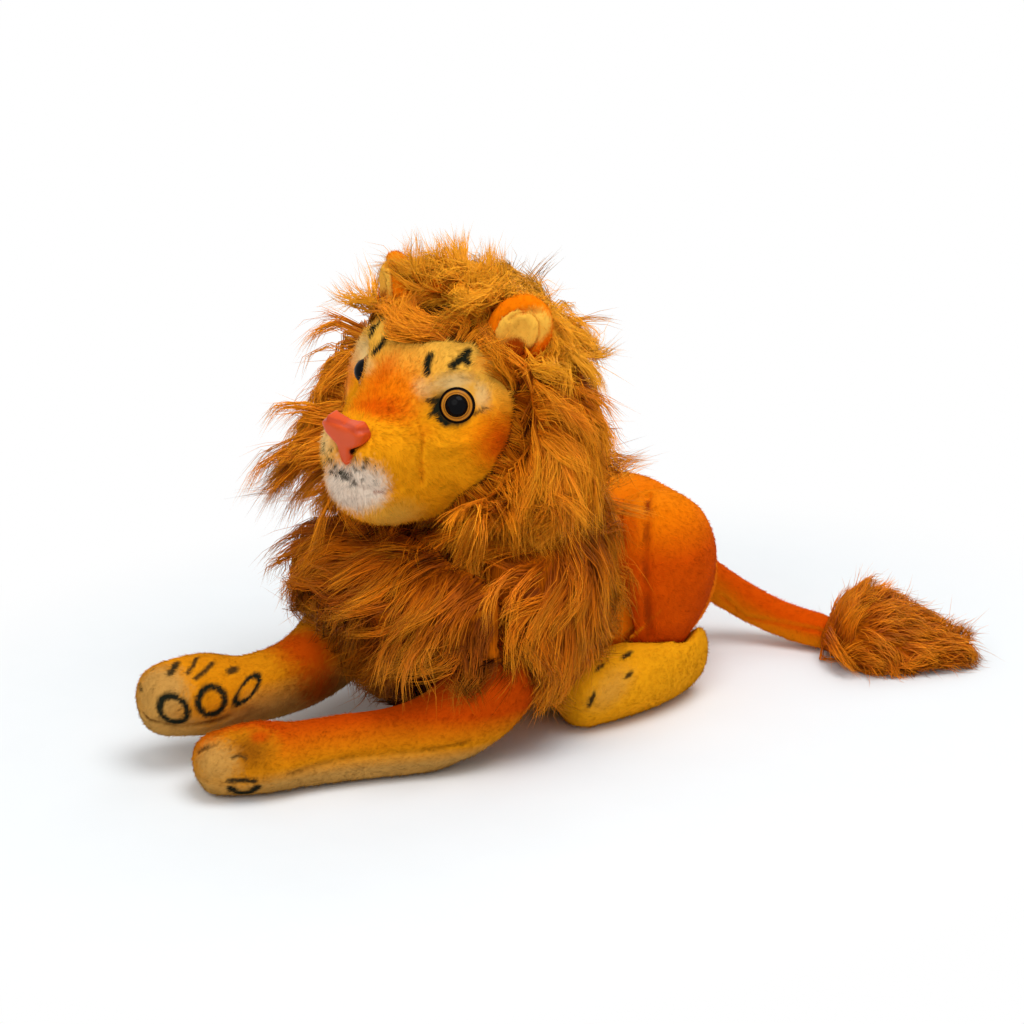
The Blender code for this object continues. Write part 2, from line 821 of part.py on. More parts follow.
def pocket_profile(seat_radius, seat_depth, mouth_radius):
    """The seat, bore and washer pocket that a stud needs in the head, widening to the surface."""
    bore = SHANK_RADIUS + CLEARANCE
    wide = WASHER_RADIUS + CLEARANCE
    pocket_top = -WASHER_DEPTH + CLEARANCE
    pocket_bottom = -WASHER_DEPTH - WASHER_THICKNESS - CLEARANCE
    return (
        (0, -SHANK_LENGTH - CLEARANCE),
        (bore, -SHANK_LENGTH - CLEARANCE),
        (bore, pocket_bottom),
        (wide, pocket_bottom),
        (wide, pocket_top),
        (bore, pocket_top),
        (bore, -seat_depth - CLEARANCE),
        (seat_radius, -seat_depth - CLEARANCE),
        (seat_radius, 0),
        (mouth_radius, POCKET_MOUTH),
        (0, POCKET_MOUTH),
    )


def drawn_out(outline, along):
    """A closed solid that an outline makes when drawn along, and the corners of its far end."""
    made = bmesh.new()
    face = made.faces.new([made.verts.new(point) for point in outline])
    drawn = bmesh.ops.extrude_face_region(made, geom=[face])
    moved = [item for item in drawn["geom"] if isinstance(item, bmesh.types.BMVert)]
    bmesh.ops.translate(made, verts=moved, vec=along)
    bmesh.ops.recalc_face_normals(made, faces=made.faces)
    return made, moved


def nose_pad(grow, front):
    """The nose's outline drawn out from its seat; grown for the seat that it is let into."""
    back = -NOSE_SUNK - grow
    width = NOSE_WIDTH + 2 * grow
    height = NOSE_HEIGHT + 2 * grow
    outline = [(-up * height, across * width, back) for across, up in NOSE_OUTLINE_SHARES]
    return drawn_out(outline, (0, 0, front - back))


def nose_mesh():
    made, front = nose_pad(0.0, NOSE_THICKNESS - NOSE_SUNK)
    rim = {edge for vert in front for edge in vert.link_edges if all(end in front for end in edge.verts)}
    bmesh.ops.bevel(
        made,
        geom=list(rim),
        offset=NOSE_ROUNDING,
        segments=2,
        profile=0.5,
        affect="EDGES",
        clamp_overlap=True,
    )
    bmesh.ops.transform(made, verts=made.verts, matrix=nose_frame())
    return made


def nose_seat():
    made, _ = nose_pad(CLEARANCE, NOSE_THICKNESS)
    bmesh.ops.transform(made, verts=made.verts, matrix=nose_frame())
    return made


def nose_shank():
    ends = (0, -SHANK_LENGTH), (SHANK_RADIUS, -SHANK_LENGTH), (SHANK_RADIUS, 0), (0, 0)
    return turned(ends, nose_frame())


def ear_frame(sign):
    return (
        HEAD_FRAME
        @ Matrix.Translation(
            (EAR_X_SHARE * HEAD_LENGTH, sign * EAR_Y_SHARE * HEAD_WIDTH, EAR_Z_SHARE * HEAD_HEIGHT)
        )
        @ Matrix.Rotation(sign * EAR_TURN, 4, "Z")
        @ Matrix.Rotation(-sign * EAR_LEAN, 4, "X")
    )


def ear_outside(sign, grow=0.0):
    half = Vector((EAR_THICKNESS / 2 + grow, EAR_WIDTH / 2 + grow, EAR_HEIGHT / 2 + grow))
    return egg(half, ear_frame(sign))


def ear_hollow(sign, wall, grow=0.0):
    """What is scooped out of an ear from in front, to leave a wall behind and round the edge."""
    half = Vector((EAR_THICKNESS / 2 + grow, EAR_WIDTH / 2 - wall + grow, EAR_HEIGHT / 2 - wall + grow))
    forward = EAR_THICKNESS / 2 + wall - EAR_WALL / 2
    return egg(half, ear_frame(sign) @ Matrix.Translation((forward, 0, 0)))


def head_line(x_share, z_share):
    """A place in the head's own side view, in shares of its length and height."""
    return Vector((x_share * HEAD_LENGTH, 0, z_share * HEAD_HEIGHT))


def face_opening():
    """All that lies ahead of the line where the mane stops round the face."""
    line = [head_line(*share) - Vector((0, OVERRUN, 0)) for share in FACE_LINE_SHARES]
    line.append(Vector((line[-1].x, -OVERRUN, line[0].z)))
    made, _ = drawn_out(line, (0, 2 * OVERRUN, 0))
    bmesh.ops.transform(made, verts=made.verts, matrix=HEAD_FRAME)
    return made


def head_axes():
    """The directions ahead, left and up as the head has them."""
    turn = HEAD_FRAME.to_3x3()
    return turn @ Vector((1, 0, 0)), turn @ Vector((0, 1, 0)), turn @ Vector((0, 0, 1))


def crown_panel():
    made = HOOD.mesh()
    _, _, up = head_axes()
    slice_off(made, HEAD_FRAME @ head_line(0, CROWN_LINE_SHARE) + up * CLEARANCE / 2, -up)
    return made


def hood_below_crown(part):
    """The hood under the crown, kept behind the nape line (part -1) or ahead of it (part 1)."""
    made = HOOD.mesh()
    ahead, _, up = head_axes()
    slice_off(made, HEAD_FRAME @ head_line(0, CROWN_LINE_SHARE) - up * CLEARANCE / 2, up)
    nape = HEAD_FRAME @ head_line(NAPE_LINE_SHARE, 0)
    slice_off(made, nape + ahead * part * CLEARANCE / 2, -ahead * part)
    return made


def nape_panel():
    return hood_below_crown(-1)


def cheek_panel(sign):
    made = hood_below_crown(1)
    _, left, _ = head_axes()
    slice_off(made, HEAD_FRAME.translation + left * sign * CLEARANCE / 2, -left * sign)
    return made


def bib_split():
    """Where the chest and shoulder pieces meet, just ahead of the neck."""
    return NECK_PIVOT.x + NECK_RADIUS + BIB_SPLIT_GAP


def bib_above_floor():
    made = BIB.mesh()
    slice_off(made, (0, 0, BIB_FLOOR_GAP), (0, 0, -1))
    return made


def chest_panel():
    made = bib_above_floor()
    slice_off(made, (bib_split() + CLEARANCE / 2, 0, 0), (-1, 0, 0))
    return made


def shoulder_panel(sign):
    made = bib_above_floor()
    slice_off(made, (bib_split() - CLEARANCE / 2, 0, 0), (1, 0, 0))
    slice_off(made, (0, sign * CLEARANCE / 2, 0), (0, -sign, 0))
    hem = (SHOULDER_HEM_X_SHARE * BIB_LENGTH, 0, SHOULDER_HEM_Z_SHARE * NECK_PIVOT.z)
    slice_off(made, hem, (-math.sin(SHOULDER_HEM_RISE), 0, -math.cos(SHOULDER_HEM_RISE)))
    return made


def forepaw_half(sign, part):
    """The paw above a level cut through the rolled paw (part 1), or the sole below (part -1)."""
    form = forepaw_form(sign)
    up = form.place.to_3x3() @ Vector((0, 0, 1))
    level = form.place @ Vector((0, 0, SOLE_SHARE * form.girth[1]))
    made = form.mesh()
    slice_off(made, level + up * part * CLEARANCE / 2, -up * part)
    return stand_on_floor(made)


def foreleg_sweep(sign, first, last, clearance):
    """The space that a stretch of a front leg swings through."""
    swings = (0, -LEFT_LIFT) if sign > 0 else (-RIGHT_LIFT, 0, RIGHT_DROP)
    return swept(foreleg_form(sign), first, last, shoulder(sign), "Y", swings, clearance)


def tail_sweep():
    swings = (-TAIL_SWING, 0, TAIL_SWING)
    return swept(TAIL, 0, TAIL_BEND_STATION, TAIL_ROOT, "Z", swings, SWING_CLEARANCE)


def arm_sweep(sign):
    return foreleg_sweep(sign, 0, ELBOW_STATION, SWING_CLEARANCE)


def forearm_sweep(sign):
    """It starts a little before the elbow and is a little wider, so that it laps the arm's."""
    last = len(foreleg_form(sign).shares) - 1
    return foreleg_sweep(sign, ELBOW_STATION - 1 / SAMPLES_A_STATION, last, FOREARM_CLEARANCE)


def shared_cutters():
    """The hidden shapes that stand for one piece, or for its movement, where it meets others."""
    made = {
        "neck_seat": ball(NECK_RADIUS + BALL_CLEARANCE, NECK_PIVOT, BALL_SIDES),
        "torso_skin": TORSO.mesh(CLEARANCE),
        "head_skin": HEAD.mesh(CLEARANCE),
        "tail_skin": TAIL.mesh(CLEARANCE),
        "tail_sweep": tail_sweep(),
        "below_collar": cone(-COLLAR_DROP, False),
        "above_bib": cone(-COLLAR_DROP - HEAD_NOD - COLLAR_SPARE, True),
        "face_opening": face_opening(),
    }
    for side, sign in SIDES.items():
        made["haunch_skin_" + side] = haunch_form(sign).mesh(CLEARANCE)
        made["hind_foot_skin_" + side] = hind_foot_form(sign).mesh(CLEARANCE)
        made["foreleg_skin_" + side] = foreleg_form(sign).mesh(CLEARANCE)
        made["arm_sweep_" + side] = arm_sweep(sign)
        made["forearm_sweep_" + side] = forearm_sweep(sign)
        made["ear_skin_" + side] = ear_outside(sign, CLEARANCE)
    return {name: add_cutter(name, mesh) for name, mesh in made.items()}


def make_torso(finish, shared):
    torso = add_piece("torso", stand_on_floor(TORSO.mesh()), finish)
    cut(torso, shared["neck_seat"], shared["tail_sweep"])
    for side in SIDES:
        cut(torso, shared["arm_sweep_" + side])


def make_haunch(side, finish, shared):
    haunch = add_piece("haunch_" + side, haunch_form(SIDES[side]).mesh(), finish)
    cut(haunch, shared["torso_skin"])


def make_hind_foot(side, finish, shared):
    foot = add_piece("hind_foot_" + side, stand_on_floor(hind_foot_form(SIDES[side]).mesh()), finish)
    cut(foot, shared["torso_skin"], shared["haunch_skin_" + side])


def make_tail(finish):
    add_piece("tail", stand_on_floor(TAIL.mesh()), finish, TAIL_ROOT)


def make_tail_tuft(finish, shared):
    tuft = add_piece("tail_tuft", stand_on_floor(TUFT.mesh()), finish, TAIL_ROOT)
    cut(tuft, shared["tail_skin"])


def make_neck(finish):
    add_piece("neck", ball(NECK_RADIUS, NECK_PIVOT, BALL_SIDES), finish, NECK_PIVOT)


def make_head(finish, shared):
    head = add_piece("head", HEAD.mesh(), finish, NECK_PIVOT)
    cut(head, shared["neck_seat"], add_cutter("nose_seat", nose_seat()))
    pocket = pocket_profile(SHANK_RADIUS + CLEARANCE, 0, SHANK_RADIUS + CLEARANCE)
    cut(head, add_cutter("nose_pocket", turned(pocket, nose_frame())))
    pocket = pocket_profile(EYE_RADIUS + CLEARANCE, EYE_SUNK, EYE_SOCKET_RADIUS)
    for side, sign in SIDES.items():
        cut(head, add_cutter("eye_pocket_" + side, turned(pocket, eye_frame(sign))))


def make_eye(side, finish):
    add_piece("eye_" + side, turned(eye_profile(), eye_frame(SIDES[side])), finish, NECK_PIVOT)


def make_eye_washer(side, finish):
    washer = turned(washer_profile(), eye_frame(SIDES[side]))
    add_piece("eye_washer_" + side, washer, finish, NECK_PIVOT)


def make_nose(finish):
    nose = add_piece("nose", nose_mesh(), finish, NECK_PIVOT)
    boolean(nose, "UNION", [add_cutter("nose_shank", nose_shank())])


def make_nose_washer(finish):
    add_piece("nose_washer", turned(washer_profile(), nose_frame()), finish, NECK_PIVOT)


def make_ear(side, finish, shared):
    sign = SIDES[side]
    ear = add_piece("ear_" + side, ear_outside(sign), finish, NECK_PIVOT)
    hollow = add_cutter("ear_hollow_" + side, ear_hollow(sign, EAR_WALL, CLEARANCE))
    cut(ear, hollow, shared["head_skin"])


def make_ear_lining(side, finish, shared):
    sign = SIDES[side]
    lining = add_piece("ear_lining_" + side, ear_hollow(sign, EAR_WALL), finish, NECK_PIVOT)
    boolean(lining, "INTERSECT", [add_cutter("ear_outside_" + side, ear_outside(sign))])
    hollow = add_cutter("lining_hollow_" + side, ear_hollow(sign, EAR_WALL + EAR_LINING))
    cut(lining, hollow, shared["head_skin"])


def make_hood_piece(name, panel, finish, shared, ears):
    """One piece of the mane on the head, cut round the ears, face, head and neck."""
    piece = add_piece(name, panel, finish, NECK_PIVOT)
    for side in ears:
        cut(piece, shared["ear_skin_" + side])
    cut(piece, *(shared[name] for name in ("head_skin", "neck_seat", "below_collar", "face_opening")))


def make_mane_crown(finish, shared):
    make_hood_piece("mane_crown", crown_panel(), finish, shared, SIDES)


def make_mane_nape(finish, shared):
    make_hood_piece("mane_nape", nape_panel(), finish, shared, SIDES)


def make_mane_cheek(side, finish, shared):
    make_hood_piece("mane_cheek_" + side, cheek_panel(SIDES[side]), finish, shared, [side])


def make_mane_chest(finish, shared):
    chest = add_piece("mane_chest", chest_panel(), finish)
    for side in SIDES:
        cut(chest, shared["arm_sweep_" + side], shared["forearm_sweep_" + side])
    cut(chest, shared["torso_skin"], shared["above_bib"])


def make_mane_shoulder(side, finish, shared):
    piece = add_piece("mane_shoulder_" + side, shoulder_panel(SIDES[side]), finish)
    cut(piece, *(shared[name] for name in ("torso_skin", "neck_seat", "above_bib")))
    cut(piece, *(shared[name + side] for name in ("arm_sweep_", "hind_foot_skin_", "haunch_skin_")))


def make_foreleg(side, finish):
    sign = SIDES[side]
    add_piece("foreleg_" + side, stand_on_floor(foreleg_form(sign).mesh()), finish, shoulder(sign))


def make_forepaw(side, finish, shared):
    sign = SIDES[side]
    paw = add_piece("forepaw_" + side, forepaw_half(sign, 1), finish, shoulder(sign))
    cut(paw, shared["foreleg_skin_" + side])


def make_forepaw_sole(side, finish, shared):
    sign = SIDES[side]
    sole = add_piece("forepaw_sole_" + side, forepaw_half(sign, -1), finish, shoulder(sign))
    cut(sole, shared["foreleg_skin_" + side])


def main():
    clear_scene()
    shared = shared_cutters()
    orange = orange_plush()
    amber = amber_plush()
    yellow = yellow_plush()
    tan = tan_plush()
    fur = mane_fur()
    eyes = eye_plastic()
    washers = washer_plastic()
    make_torso(orange, shared)
    make_tail(orange)
    make_tail_tuft(fur, shared)
    make_neck(orange)
    make_head(yellow, shared)
    make_nose(nose_plastic())
    make_nose_washer(washers)
    make_mane_crown(fur, shared)
    make_mane_nape(fur, shared)
    make_mane_chest(fur, shared)
    for side in SIDES:
        make_haunch(side, orange, shared)
        make_hind_foot(side, yellow, shared)
        make_foreleg(side, orange)
        make_forepaw(side, amber, shared)
        make_forepaw_sole(side, tan, shared)
        make_mane_shoulder(side, fur, shared)
        make_mane_cheek(side, fur, shared)
        make_ear(side, orange, shared)
        make_ear_lining(side, yellow, shared)
        make_eye(side, eyes)
        make_eye_washer(side, washers)


if __name__ == "__main__":
    main()
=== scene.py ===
"""A plush lion that lies on its belly, with short plush skins, a long-pile mane and tuft, and moulded eyes and nose."""

import math

import bmesh
import bpy
import numpy as np
from mathutils import Euler, Matrix, Vector
from mathutils.bvhtree import BVHTree


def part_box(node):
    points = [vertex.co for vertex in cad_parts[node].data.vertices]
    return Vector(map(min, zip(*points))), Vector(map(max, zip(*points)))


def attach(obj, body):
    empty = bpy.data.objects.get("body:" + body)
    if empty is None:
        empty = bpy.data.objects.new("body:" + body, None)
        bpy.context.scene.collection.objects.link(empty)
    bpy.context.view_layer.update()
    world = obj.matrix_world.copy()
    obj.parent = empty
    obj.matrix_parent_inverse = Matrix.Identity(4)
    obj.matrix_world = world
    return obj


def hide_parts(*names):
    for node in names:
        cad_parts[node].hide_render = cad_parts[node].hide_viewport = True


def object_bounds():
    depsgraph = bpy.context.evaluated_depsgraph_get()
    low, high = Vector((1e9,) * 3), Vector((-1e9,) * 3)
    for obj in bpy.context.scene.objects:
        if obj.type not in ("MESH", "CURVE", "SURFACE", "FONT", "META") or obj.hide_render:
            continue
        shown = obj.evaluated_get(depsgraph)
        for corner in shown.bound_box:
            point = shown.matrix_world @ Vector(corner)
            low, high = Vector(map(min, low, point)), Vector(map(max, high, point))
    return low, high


bl_info = {
    "name": "Plush lion",
    "version": (1, 0, 0),
    "blender": (4, 5, 0),
    "location": "3D view > Sidebar > Plush lion",
    "description": "Builds a plush lion's skins, pile, mane, eyes and nose over its solids",
    "category": "Add Mesh",
}

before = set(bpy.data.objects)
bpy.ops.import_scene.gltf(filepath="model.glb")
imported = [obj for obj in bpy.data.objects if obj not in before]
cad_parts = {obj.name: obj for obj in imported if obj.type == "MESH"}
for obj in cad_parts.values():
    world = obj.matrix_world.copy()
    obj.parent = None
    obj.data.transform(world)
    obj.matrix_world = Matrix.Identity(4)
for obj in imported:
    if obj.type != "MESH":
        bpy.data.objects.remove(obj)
CAD_BOX = [list(corner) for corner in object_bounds()]

# The photograph's frame
PHOTO_SIDE = 1024
CAMERA_TARGET = (0.0, 0.0, 0.088)
CAMERA_DISTANCE = 1.2
CAMERA_AZIMUTH = math.radians(142)
CAMERA_ELEVATION = math.radians(18)
PIXEL_SIZE = 0.000444
SENSOR_WIDTH = 36.0

# How the head sits
HEAD_PLACE = Vector((0.0314, 0.0015, 0.149))
HEAD_TURN = Euler((math.radians(-5), 0.0, math.radians(9)), "XYZ").to_matrix()
HEAD_MIDDLE = np.array(HEAD_PLACE)
HEAD_ACROSS = np.array(HEAD_TURN @ Vector((0, 1, 0)))
HEAD_AXES = np.array(HEAD_TURN)
EYE_TURN = math.radians(36)
EYE_RAISE = math.radians(14)
SIDES = {"left": 1, "right": -1}

WELD = 0.000002
SEED = 11
TINY = 1e-9
STUFFING_FRAMES = 20


def paint(red, green, blue):
    """The shader's colour for one that shows as these 8-bit values."""
    share = np.array((red, green, blue)) / 255
    return tuple(np.where(share <= 0.04045, share / 12.92, ((share + 0.055) / 1.055) ** 2.4))


def unit(rows):
    """The same directions with a length of one."""
    rows = np.asarray(rows, float)
    return rows / np.maximum(np.linalg.norm(rows, axis=-1, keepdims=True), TINY)


def smooth(low, high, values):
    """0 below low, 1 above high, and a smooth step between."""
    t = np.clip((values - low) / (high - low), 0, 1)
    return t * t * (3 - 2 * t)


# ---------------------------------------------------------------- sizes and colours


def colour_value(name, description, *shown):
    """A colour that a user may change, given by the 8-bit values that it shows as."""
    return bpy.props.FloatVectorProperty(
        name=name, description=description, default=paint(*shown), subtype="COLOR", min=0, max=1
    )


def length_value(name, description, default, least, most):
    """A length that a user may change."""
    return bpy.props.FloatProperty(
        name=name, description=description, default=default, min=least, max=most, unit="LENGTH"
    )


class LionPlush(bpy.types.PropertyGroup):
    """The short plush."""

    pile_length: length_value("Pile length", "How long the short pile is", 0.0021, 0.0005, 0.005)
    pile_width: length_value("Pile width", "How wide a fibre of the short pile is", 0.00034, 0.0001, 0.001)
    pile_area: bpy.props.FloatProperty(
        name="Pile area",
        description="The area of cloth that one fibre stands on",
        default=0.00000075,
        min=0.0000002,
        unit="AREA",
    )
    orange: colour_value("Orange", "The dye of the back and haunches", 255, 128, 2)
    # Painted light: this paler orange on top of the rump and back stands for the light from above.
    bright: colour_value("Bright orange", "The dye on top of the rump", 255, 146, 14)
    rust: colour_value("Rust", "The dye along the tops of the legs and tail", 222, 82, 0)
    # Low on the haunches this darkest rust is partly painted shade.
    deep: colour_value("Deep rust", "The darkest dye low on the haunches", 200, 70, 0)
    yellow: colour_value("Yellow", "The dye of the cheeks and feet", 252, 168, 18)
    straw: colour_value("Straw", "The dye of the forehead and brows", 255, 190, 72)
    seam: colour_value("Seam", "The dye down in a seam", 150, 52, 4)
    # The legs' seams are darker in this colour; behind the face's seam the same colour is painted shade under the mane.
    stitch: colour_value("Stitch", "The dye down in the legs' seams", 92, 50, 8)
    ochre: colour_value("Ochre", "The dye low on the forelegs and on the paws", 226, 140, 12)
    tan: colour_value("Tan", "The dye of the toes and soles", 200, 148, 74)
    # Painted shade: the dark patch over the paw's top and the mane's shadow on the far foreleg.
    painted_shade: colour_value("Umber", "The shaded patch on the paw", 150, 84, 8)
    cream: colour_value("Cream", "The pale patches over the eyes", 255, 214, 142)
    ivory: colour_value("Ivory", "The muzzle and chin", 244, 220, 196)
    ink: colour_value("Ink", "The painted marks", 30, 32, 22)


class LionMane(bpy.types.PropertyGroup):
    """The long pile."""

    strand_width: length_value("Strand width", "How wide a strand is at its root", 0.00042, 0.0001, 0.001)
    # The dark roots are partly the fur's colour and partly painted shade deep in the locks.
    root: colour_value("Root", "The mane's colour at the roots", 160, 64, 1)
    middle: colour_value("Middle", "The mane's colour half way up", 238, 122, 6)
    gold: colour_value("Gold", "The mane's brightest strands", 255, 172, 36)
    tip: colour_value("Tip", "The mane's colour at the tips", 255, 160, 30)


class LionFace(bpy.types.PropertyGroup):
    """The moulded eyes and nose."""

    eye_radius: length_value("Eye radius", "The radius of an eye's rim", 0.008, 0.004, 0.012)
    eye_bulge: length_value("Eye bulge", "How far an eye's dome stands over its rim", 0.0052, 0.001, 0.008)
    amber: colour_value("Amber", "The ring round the pupil", 188, 122, 34)
    bronze: colour_value("Bronze", "The dark line in the eye's ring", 120, 68, 18)
    salmon: colour_value("Salmon", "The nose", 208, 74, 20)


class LionStage(bpy.types.PropertyGroup):
    """The floor and the lamps."""

    floor_width: bpy.props.FloatProperty(
        name="Floor width", description="The width of the floor", default=6.0, min=1, unit="LENGTH"
    )
    lamp_power: bpy.props.FloatProperty(
        name="Lamp power", description="The main lamp's power in watts", default=17.0, min=0
    )
    sky: bpy.props.FloatProperty(
        name="Sky", description="The strength of the light from all round", default=0.46, min=0
    )


# ---------------------------------------------------------------- shader maths


class Term:
    """A socket's value, on which Python's operators add Math nodes."""

    def __init__(self, tree, socket):
        self.tree = tree
        self.socket = socket

    def math(self, operation, *others):
        return self.tree.math(operation, self, *others)

    def __add__(self, other):
        return self.math("ADD", other)

    __radd__ = __add__

    def __mul__(self, other):
        return self.math("MULTIPLY", other)

    __rmul__ = __mul__

    def __sub__(self, other):
        return self.math("SUBTRACT", other)

    def __rsub__(self, other):
        return self.tree.math("SUBTRACT", other, self)

    def ramp(self, low, high):
        """0 at low and 1 at high, smoothly."""
        sockets = {"Value": self, "From Min": low, "From Max": high}
        return self.tree.node("ShaderNodeMapRange", {"interpolation_type": "SMOOTHSTEP"}, sockets)


class Finish:
    """One material, or the world, and its nodes."""

    def __init__(self, name, kind="materials"):
        self.material = getattr(bpy.data, kind).new(name)
        self.material.use_nodes = True
        self.nodes = self.material.node_tree.nodes
        self.links = self.material.node_tree.links
        self.nodes.clear()

    def node(self, kind, settings, sockets, output=0):
        """A node of this kind, its settings made first and its sockets next."""
        made = self.nodes.new(kind)
        for name, value in settings.items():
            setattr(made, name, value)
        for name, value in sockets.items():
            self.feed(made.inputs[name], value)
        return Term(self, made.outputs[output])

    def feed(self, socket, value):
        if isinstance(value, Term):
            self.links.new(value.socket, socket)
            return
        if socket.type == "RGBA" and len(value) == 3:
            value = (*value, 1)
        socket.default_value = value

    def math(self, operation, *values):
        return self.node("ShaderNodeMath", {"operation": operation}, dict(enumerate(values)))

    def mix(self, share, first, second, blend="MIX"):
        """Two colours mixed."""
        made = self.nodes.new("ShaderNodeMix")
        made.data_type = "RGBA"
        made.blend_type = blend
        for index, value in ((0, share), (6, first), (7, second)):
            self.feed(made.inputs[index], value)
        return Term(self, made.outputs[2])

    def attribute(self, name, output=2):
        return self.node("ShaderNodeAttribute", {"attribute_name": name}, {}, output)

    def place(self):
        return self.node("ShaderNodeTexCoord", {}, {}, "Object")

    def noise(self, scale, detail=2, place=None, roughness=0.5):
        return self.node(
            "ShaderNodeTexNoise",
            {},
            {"Vector": place or self.place(), "Scale": scale, "Detail": detail, "Roughness": roughness},
        )

    def background_rays(self):
        """1 for what the camera sees, and for what shows in a gloss or through a clear piece."""
        path = self.nodes.new("ShaderNodeLightPath")
        camera, gloss, clear = (
            Term(self, path.outputs[f"Is {kind} Ray"]) for kind in ("Camera", "Glossy", "Transmission")
        )
        return self.math("MINIMUM", camera + gloss + clear, 1.0)

    def surface(self, sockets, bump=None):
        """The Principled shader with these sockets, and with bump as (height, distance, strength)."""
        if bump:
            height, distance, strength = bump
            sockets["Normal"] = self.node(
                "ShaderNodeBump", {}, {"Height": height, "Distance": distance, "Strength": strength}
            )
        shader = self.node("ShaderNodeBsdfPrincipled", {}, sockets)
        out = self.nodes.new("ShaderNodeOutputMaterial")
        self.links.new(shader.socket, out.inputs["Surface"])
        return self.material


FINISHES = {}


def finish_of(name, make):
    """The material of this name, made once."""
    if name not in FINISHES:
        FINISHES[name] = make(name)
    return FINISHES[name]


def toned(finish, dye, level):
    """A dye made lighter or darker by a level."""
    grey = finish.node("ShaderNodeCombineColor", {}, {"Red": level, "Green": level, "Blue": level})
    return finish.mix(1.0, dye, grey, "MULTIPLY")


def plush_finish(name):
    """Dyed short plush: the dye is on the mesh, a little painted shade between the fibres and paler tips."""
    finish = Finish(name)
    grain = finish.noise(1100, 3)
    cloud = finish.noise(60, 3)
    # Painted shade: the colour is darkest at the fibres' roots and on the cloth between them.
    level = 0.88 + 0.18 * finish.attribute("along") + 0.10 * (grain - 0.5) + 0.14 * (cloud - 0.5)
    colour = toned(finish, finish.attribute("dye", 0), level)
    return finish.surface(
        {"Base Color": colour, "Roughness": 0.9, "Specular IOR Level": 0.03}, (grain, 0.0003, 0.25),
    )


def fur_finish(name):
    """Long pile: each strand is dark at its root, partly as painted shade, and pale at its tip, and shines a little."""
    finish = Finish(name)
    grain = finish.noise(420, 2)
    colour = toned(finish, finish.attribute("dye", 0), 0.86 + 0.28 * grain)
    return finish.surface(
        {"Base Color": colour, "Roughness": 0.5, "Specular IOR Level": 0.08}, (grain, 0.0002, 0.15)
    )


def undercoat_finish(name, turn=(0.0, 0.0, 0.0)):
    """The thick low coat under the long strands, streaked the way that they hang."""
    finish = Finish(name)
    sockets = {"Vector": finish.place(), "Rotation": turn, "Scale": (1, 1, 9)}
    drawn = finish.node("ShaderNodeMapping", {"vector_type": "TEXTURE"}, sockets)
    streak = finish.noise(900, 3, drawn, 0.6)
    clump = finish.noise(170, 2, drawn, 0.5)
    level = 0.45 + 0.75 * streak.ramp(0.3, 0.7) * (0.6 + 0.5 * clump)
    colour = toned(finish, finish.attribute("dye", 0), level)
    return finish.surface(
        {"Base Color": colour, "Roughness": 0.8, "Specular IOR Level": 0.03}, (streak + clump, 0.0012, 0.6)
    )


def plastic_finish(name, colour, roughness):
    """Moulded plastic with a faint grain."""
    finish = Finish(name)
    grain = finish.noise(1400, 2)
    cloud = finish.noise(120, 2)
    sockets = {
        "Base Color": toned(finish, colour, 0.94 + 0.12 * cloud),
        "Roughness": roughness + 0.06 * (cloud - 0.5),
    }
    return finish.surface(sockets, (grain, 0.00008, 0.15))


def moulded_finish(name):
    """The nose's plastic, with its colour on the mesh."""
    finish = Finish(name)
    cloud = finish.noise(150, 2)
    colour = toned(finish, finish.attribute("dye", 0), 0.92 + 0.16 * cloud)
    return finish.surface(
        {"Base Color": colour, "Roughness": 0.36 + 0.08 * (cloud - 0.5), "Specular IOR Level": 0.2},
        (finish.noise(1400, 2), 0.00008, 0.15),
    )


# ---------------------------------------------------------------- sight through the photograph


def camera_matrix():
    """Where the camera stands, and how it is turned."""
    back = Vector(
        (
            math.sin(CAMERA_AZIMUTH) * math.cos(CAMERA_ELEVATION),
            -math.cos(CAMERA_AZIMUTH) * math.cos(CAMERA_ELEVATION),
            math.sin(CAMERA_ELEVATION),
        )
    )
    turn = (-back).to_track_quat("-Z", "Y").to_matrix().to_4x4()
    return Matrix.Translation(Vector(CAMERA_TARGET) + back * CAMERA_DISTANCE) @ turn


CAMERA = camera_matrix()
FOCAL_PIXELS = CAMERA_DISTANCE / PIXEL_SIZE


def sight(x, y):
    """The camera's place and the direction in which it sees this point of the photograph."""
    half = PHOTO_SIDE / 2
    ray = Vector(((x - half) / FOCAL_PIXELS, (half - y) / FOCAL_PIXELS, -1))
    return CAMERA.translation, (CAMERA.to_3x3() @ ray).normalized()


def seen(tree, x, y):
    """Where this point of the photograph lies on a surface, and which way the surface faces."""
    start, way = sight(x, y)
    place, normal, _, _ = tree.ray_cast(start, way)
    if place is None:
        place, normal, _, _ = tree.find_nearest(start + way * CAMERA_DISTANCE)
    return place, normal


def mirrored_points(points, place, across):
    """These points on the other side of the plane through place that faces across."""
    flip = np.eye(3) - 2 * np.outer(across, across)
    return [place + flip @ (np.array(point) - place) for point in points]


class Spot:
    """A soft-edged elliptical patch of dye."""

    def __init__(self, centre, axes, colour, strength=1.0, soft=0.5, ring=None):
        self.centre = np.array(centre)
        self.axes = np.array(axes)
        self.colour = np.array(colour[:3])
        self.strength = strength
        self.soft = soft
        self.ring = ring

    def mirrored(self, place, across):
        """The same spot on the other side of a plane."""
        (centre,) = mirrored_points([self.centre], place, across)
        axes = (np.eye(3) - 2 * np.outer(across, across)) @ self.axes
        return Spot(centre, axes, self.colour, self.strength, self.soft, self.ring)

    def cover(self, points, jitter):
        reach = np.linalg.norm((points - self.centre) @ np.linalg.inv(self.axes).T, axis=1) + jitter
        if self.ring:
            return self.strength * (1 - smooth(self.ring * (1 - self.soft), self.ring, np.abs(reach - 1)))
        return self.strength * (1 - smooth(1 - self.soft, 1, reach))


